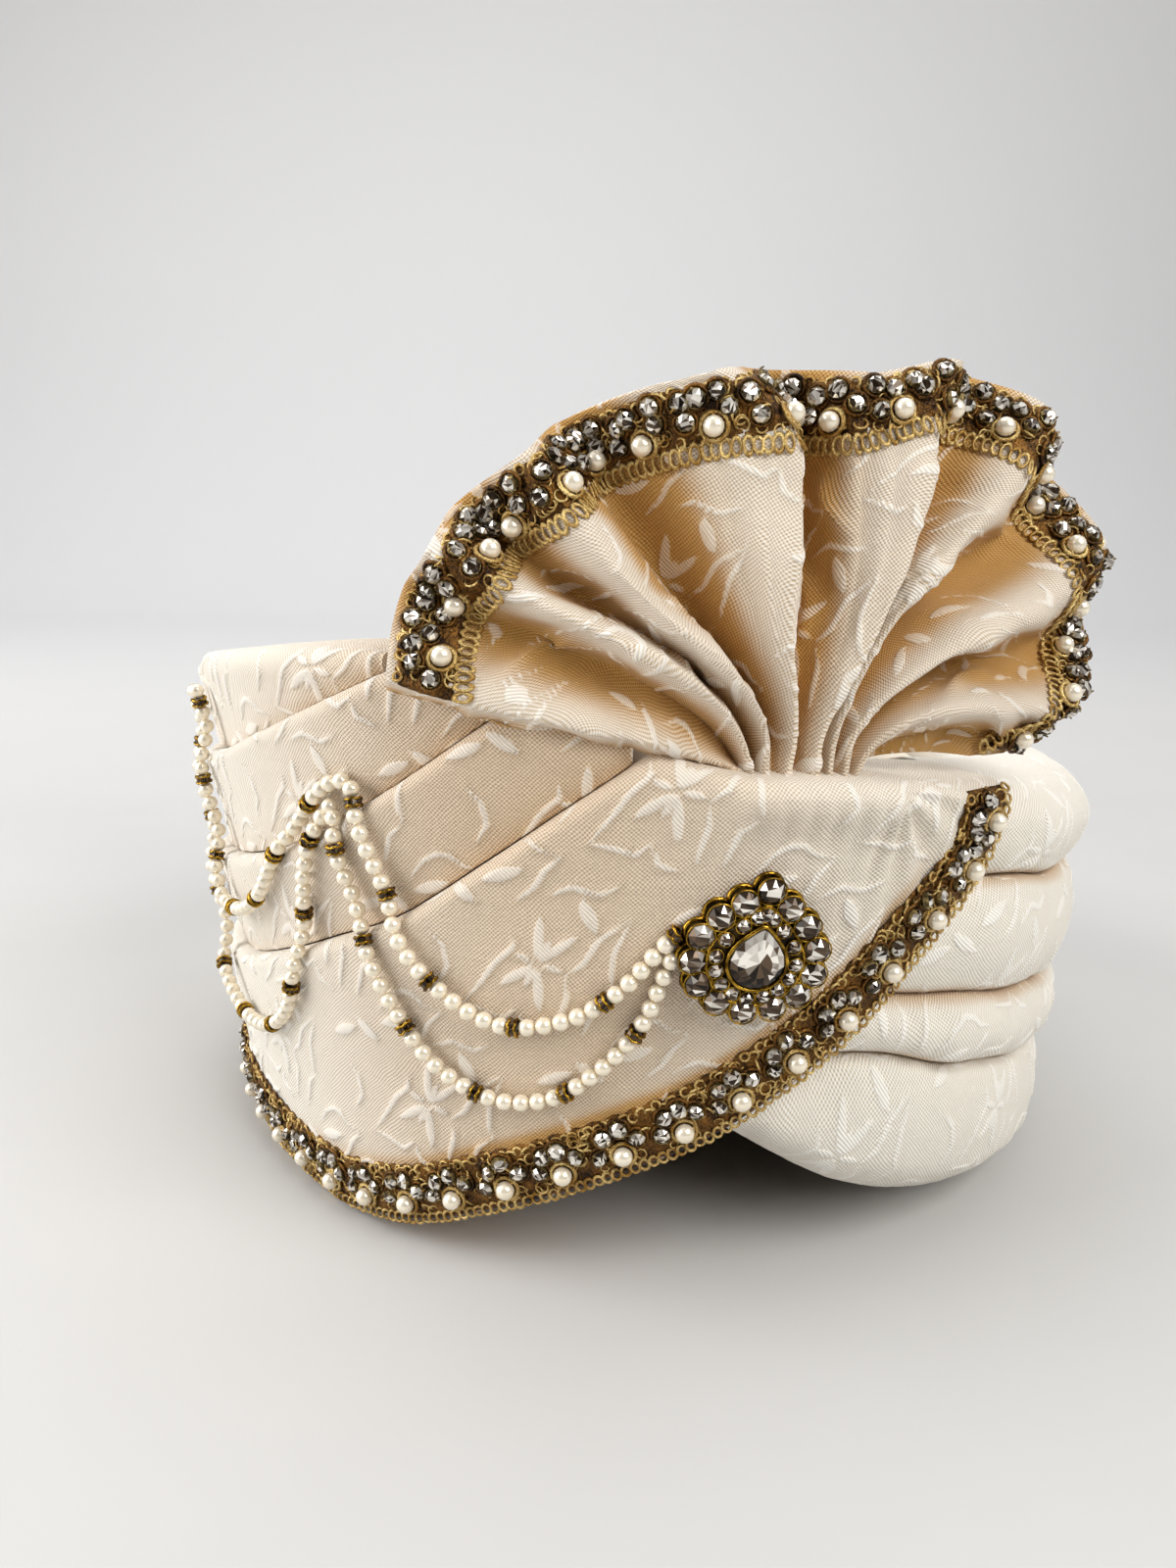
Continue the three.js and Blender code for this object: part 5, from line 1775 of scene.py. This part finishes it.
def drop_outline(grow, count):
    angle = 2 * np.pi * np.arange(count) / count
    up = np.cos(angle)
    taper = np.where(up > 0, 1 - DROP_TAPER * up * up, 1.0)
    x = (DROP_HALF_WIDTH + grow) * np.sin(angle) * taper
    y = up * (np.where(up > 0, DROP_ABOVE, DROP_BELOW) + grow) + DROP_SHIFT
    return np.stack([-x, y], axis=-1)


def circle(count, radius):
    angle = 2 * np.pi * np.arange(count) / count
    return np.stack([-radius * np.sin(angle), radius * np.cos(angle)], axis=-1)


print("brooch stands at mm", BROOCH_ORIGIN.round(1))

# %% Wires and plates
PLATE_BEVEL = 0.3


def ring_quads(rings, sides, closed=False):
    faces = []
    for i in range(rings if closed else rings - 1):
        k = (i + 1) % rings
        for j in range(sides):
            m = (j + 1) % sides
            faces.append([i * sides + j, i * sides + m, k * sides + m, k * sides + j])
    return faces


def wire_loop(outline, height, radius, sides=8):
    count = len(outline)
    ahead = unit_rows(np.roll(outline, -1, axis=0) - np.roll(outline, 1, axis=0))
    outward = np.stack([ahead[:, 1], -ahead[:, 0]], axis=-1)
    turn = 2 * np.pi * np.arange(sides) / sides
    flat = outline[:, None, :] + outward[:, None, :] * (radius * np.cos(turn))[None, :, None]
    up = np.broadcast_to(height + radius * np.sin(turn), (count, sides))
    points = np.concatenate([flat, up[..., None]], axis=-1).reshape(-1, 3)
    return points, ring_quads(count, sides, closed=True)


def plate(outline, low, high):
    count = len(outline)
    centre = outline.mean(axis=0)
    inner = centre + (outline - centre) * (1 - PLATE_BEVEL / np.abs(outline - centre).max())
    levels = [(outline, low), (outline, high - PLATE_BEVEL), (inner, high)]
    points = np.concatenate([np.c_[ring, np.full(count, z)] for ring, z in levels])
    faces = ring_quads(len(levels), count)
    faces.append(list(range(count))[::-1])
    faces.append([2 * count + i for i in range(count)])
    return points, faces


# %% Make the brooch
BROOCH_PLATE = 1.6
# Places of the large stones on one half, from the top down.
OUTER_HALF = (
    (0.0, 12.9), (4.6, 9.8), (8.8, 6.4), (11.8, 1.9),
    (12.3, -3.3), (10.2, -8.1), (5.7, -11.4), (0.0, -12.7),
)
BIG_STONE = 2.7
BIG_HEIGHT = 3.4
SMALL_STONES = 16
SMALL_STONE = 1.45
SMALL_HEIGHT = 3.9
SMALL_GROW = 2.7
SMALL_SUNK = 0.1
OUTLINE_POINTS = 48
# Step and bezel: growth of the outline, foot of the plate, its top and its wire above the small stones,
# and the wire's radius.
STEP = (4.4, 0.4, -0.7, -0.6, 0.38)
BEZEL = (0.6, 0.6, 0.3, 0.5, 0.4)
SCALLOP_SIZE = (2.75, 2.75, 3.0)
SCALLOP_HEIGHT = 0.7
# Post under a large stone: points, how much smaller it is, from, and how far below the stone it ends.
POST = (14, 0.3, 0.4, 0.2)
# Wire round a stone: points, how much larger it is, height above the stone's edge, radius.
BIG_WIRE = (20, 0.15, 0.0, 0.18)
SMALL_WIRE = (14, 0.1, -0.2, 0.17)
STONE_WIRE_SIDES = 6


def stone_wire(spot, radius, height, wire):
    count, larger, above, thick = wire
    return wire_loop(circle(count, radius + larger) + spot, height + above, thick, STONE_WIRE_SIDES)


def make_brooch():
    half = np.array(OUTER_HALF)
    big_spots = np.concatenate([half * [-1, 1], half[-2:0:-1]])
    small_spots = drop_outline(SMALL_GROW, SMALL_STONES)
    back = [plate(big_spots, 0.0, BROOCH_PLATE)]
    metal = []
    for grow, low, high, wire_above, wire_radius in (STEP, BEZEL):
        outline = drop_outline(grow, OUTLINE_POINTS)
        back.append(plate(outline, low, SMALL_HEIGHT + high))
        metal.append(wire_loop(outline, SMALL_HEIGHT + wire_above, wire_radius))
    ring_points, ring_faces = RING_SHAPE
    post_points, smaller, post_foot, post_gap = POST
    for spot in big_spots:
        metal.append((ring_points * SCALLOP_SIZE + [*spot, SCALLOP_HEIGHT], ring_faces))
        back.append(plate(circle(post_points, BIG_STONE - smaller) + spot, post_foot, BIG_HEIGHT - post_gap))
        metal.append(stone_wire(spot, BIG_STONE, BIG_HEIGHT, BIG_WIRE))
    for spot in small_spots:
        metal.append(stone_wire(spot, SMALL_STONE, SMALL_HEIGHT, SMALL_WIRE))
    points, faces = join_shapes(*metal)
    mesh_piece("brooch_setting", on_brooch(points), faces, GILT, "brooch", "gilt_metal")
    points, faces = join_shapes(*back)
    mesh_piece("brooch_back", on_brooch(points), faces, BROOCH_BACK, None, "gilt_metal", smooth=False)

    big_count = len(big_spots)
    heights = np.r_[np.full(big_count, BIG_HEIGHT), np.full(SMALL_STONES, SMALL_HEIGHT - SMALL_SUNK)]
    spots = np.c_[np.concatenate([big_spots, small_spots]), heights]
    radii = np.r_[np.full(big_count, BIG_STONE), np.full(SMALL_STONES, SMALL_STONE)]
    axes = BROOCH_AXES[None] * radii[:, None, None]
    stamp("brooch_ring_stones", STONE_SHAPE, on_brooch(spots), axes, CRYSTAL, "crystal", smooth=False,
          dark_reflections=BROOCH_DARK_REFLECTIONS)


make_brooch()

# %% [markdown]
# ## Drop stone
#
# The middle stone is a drop with a flat table, a ring of crown facets and a straight edge. It could be a
# sculpted blob, but a few rings of an outline, the middle one turned by half a side, give true facets.
# Light is painted into the colour: the upper facets are painted bright and the lower ones dark, as a
# foiled stone under a lamp looks.

# %% Make the drop stone
DROP_SEAT = 4.2
DROP_SIDES = 20
# Rings from the seat to the table: share of the outline, rise above the seat.
DROP_LEVELS = ((1.0, 0.0), (1.0, 0.5), (0.78, 1.25), (0.5, 1.7))
DROP_TURNED_LEVEL = 2
DROP_TABLE_MIDDLE = 0.6
# Painted light: tone of the top facets, and the heights over which it fades to dark.
DROP_PAINTED_LIGHT = 0.95
DROP_PAINTED_LIGHT_FROM = -1.6
DROP_PAINTED_LIGHT_TO = 0.6
DROP_TONE_CHANCE = (0.05, 0.25)


def make_drop_stone():
    count = DROP_SIDES
    rings = []
    for number, (share, rise) in enumerate(DROP_LEVELS):
        outline = drop_outline(0, count) - [0, DROP_SHIFT]
        if number == DROP_TURNED_LEVEL:
            outline = (outline + np.roll(outline, -1, axis=0)) / 2
        rings.append(np.c_[outline * share + [0, DROP_SHIFT], np.full(count, DROP_SEAT + rise)])
    middle = [[0, DROP_SHIFT + DROP_TABLE_MIDDLE, DROP_SEAT + DROP_LEVELS[-1][1]]]
    points = np.concatenate(rings + [middle])
    faces = []
    for i in range(count):
        k = (i + 1) % count
        faces.append([i, k, count + k, count + i])
        faces.append([count + i, count + k, 2 * count + i])
        faces.append([count + k, 2 * count + k, 2 * count + i])
        faces.append([2 * count + i, 2 * count + k, 3 * count + k])
        faces.append([2 * count + i, 3 * count + k, 3 * count + i])
        if i % 2 == 0:
            faces.append([3 * count + i, 3 * count + k, 3 * count + (i + 2) % count, 4 * count])
    faces.append(list(range(count))[::-1])
    piece = mesh_piece(
        "brooch_drop", on_brooch(points), faces, CRYSTAL, "brooch_stone", "crystal", smooth=False)
    # Painted light: facets higher on the drop get brighter tones, with a little random spread.
    up = np.array([points[face, 1].mean() for face in faces]) - DROP_SHIFT
    tones = DROP_PAINTED_LIGHT * smoothstep(up, DROP_PAINTED_LIGHT_FROM, DROP_PAINTED_LIGHT_TO)
    tones = tones + FACET_TONES.normal(*DROP_TONE_CHANCE, len(faces))
    paint_facet_light(piece, tones.clip(0.0, 1.0))


make_drop_stone()

# %% [markdown]
# ## Strings of pearls
#
# Two strings leave the brooch, swing in swags, cross over a tack on the pleat and go up over the left
# shoulder. On each, five pearls alternate with one rondelle, a gilt ring with dark stones. The route is a
# list of directions and heights; the pearls are threaded on it by length and lie on the cloth.

# %% String routes
PEARL = 3.68
STRING_LIFT = 0.3
ROUTE_SAMPLES = 1200
ROUTE_SOFT = 41
# A pearl rests on the highest cloth within this height above and below its middle.
PEARL_TOUCHES = 2.5
# Columns: direction, height, lift off the cloth.
UPPER_ROUTE = np.array([
    (353.7, 85.0, 0.0), (352.0, 81.0, 0.0), (348.5, 71.5, 0.0), (343.7, 64.2, 0.0),
    (337.2, 61.3, 0.0), (331.4, 67.0, 0.0), (327.4, 76.0, 0.0), (325.0, 89.0, 0.0),
    (322.9, 102.0, 0.0), (321.6, 108.0, 0.0), (317.8, 105.0, 0.0), (310.7, 89.5, 0.0),
    (305.0, 75.0, 0.0), (298.0, 66.0, 0.5), (291.5, 65.0, 1.0), (289.5, 71.5, 0.5),
    (288.0, 84.0, 0.5), (287.8, 97.0, 0.5), (288.0, 109.0, 0.5), (288.3, 118.5, 0.5),
])
LOWER_ROUTE = np.array([
    (353.3, 80.5, 0.0), (352.4, 75.0, 0.0), (350.4, 63.5, 0.0), (346.6, 53.0, 0.0),
    (341.8, 45.4, 0.0), (336.0, 43.8, 0.0), (330.0, 50.0, 0.0), (325.8, 62.0, 0.0),
    (322.4, 77.0, 0.0), (320.3, 91.0, 0.0), (319.4, 102.0, 0.0), (317.0, 96.0, 0.0),
    (314.0, 80.0, 0.0), (312.0, 64.0, 0.0), (309.0, 49.0, 0.0), (303.0, 39.5, 0.0),
    (295.5, 37.5, 0.5), (287.5, 44.0, 1.0), (285.0, 55.0, 0.5), (283.3, 69.0, 0.5),
    (283.0, 84.0, 0.5), (283.2, 98.0, 0.5), (283.7, 110.0, 0.5), (284.2, 118.0, 0.5),
])


def string_path(route):
    steps = np.hypot(np.diff(route[:, 0]) * MM_PER_DEGREE, np.diff(route[:, 1]))
    knots = np.pad(steps.cumsum(), (1, 0))
    table = np.column_stack([knots, route])
    fine = np.linspace(0, knots[-1], ROUTE_SAMPLES)
    direction, height, lift = (along(table, column, fine) for column in (1, 2, 3))
    touched = [cloth_offset(direction, height + step) for step in (-PEARL_TOUCHES, 0, PEARL_TOUCHES)]
    cloth = running_mean(np.max(touched, axis=0), ROUTE_SOFT)
    points = body_points(direction, cloth + PEARL / 2 + STRING_LIFT + lift, height)
    return points, lengths_along(points, 0)


# %% Thread the pearls
PEARL_PITCH = 3.7
RONDELLE_PITCH = 1.95
PEARLS_BETWEEN = 5
STRING_FIRST = 0.3
# Any way that no string runs along: it only says how a bead is turned on its thread.
BEAD_TURN = (0.1, 0.2, 1.0)


def bead_places(length, first_rondelle):
    at = STRING_FIRST
    pearls = []
    rondelles = []
    if first_rondelle:
        rondelles.append(at + RONDELLE_PITCH / 2)
        at += RONDELLE_PITCH
    while at < length - PEARL:
        for _ in range(PEARLS_BETWEEN):
            pearls.append(at + PEARL_PITCH / 2)
            at += PEARL_PITCH
        rondelles.append(at + RONDELLE_PITCH / 2)
        at += RONDELLE_PITCH
    return [np.array([place for place in places if place < length]) for places in (pearls, rondelles)]


def make_string(name, route, node, first_rondelle):
    points, gone = string_path(route)
    pearls, rondelles = bead_places(gone[-1], first_rondelle)

    def thread(at_mm):
        spot, later, earlier = (
            np.stack([np.interp(at_mm + step, gone, column) for column in points.T], axis=-1)
            for step in (0, 1, -1))
        return spot, unit_rows(later - earlier)

    spot, way = thread(pearls)
    axes = standing_axes(way, BEAD_TURN, PEARL / 2)
    stamp(name + "_pearls", PEARL_SHAPE, spot, axes, PEARL_COAT, "pearl", node)
    spot, way = thread(rondelles)
    axes = standing_axes(way, BEAD_TURN, 1.0)
    stamp(name + "_rondelles", FLANGE_SHAPE, spot, axes, GILT, "gilt_metal")
    stamp(name + "_rondelle_stones", BAND_SHAPE, spot, axes, DARK_GLASS, "crystal", smooth=False,
          dark_reflections=BAND_DARK_REFLECTIONS)
    print(name, round(gone[-1]), "mm,", len(pearls), "pearls,", len(rondelles), "rondelles")


make_string("string_upper", UPPER_ROUTE, "strand_upper", True)
make_string("string_lower", LOWER_ROUTE, "strand_lower", False)
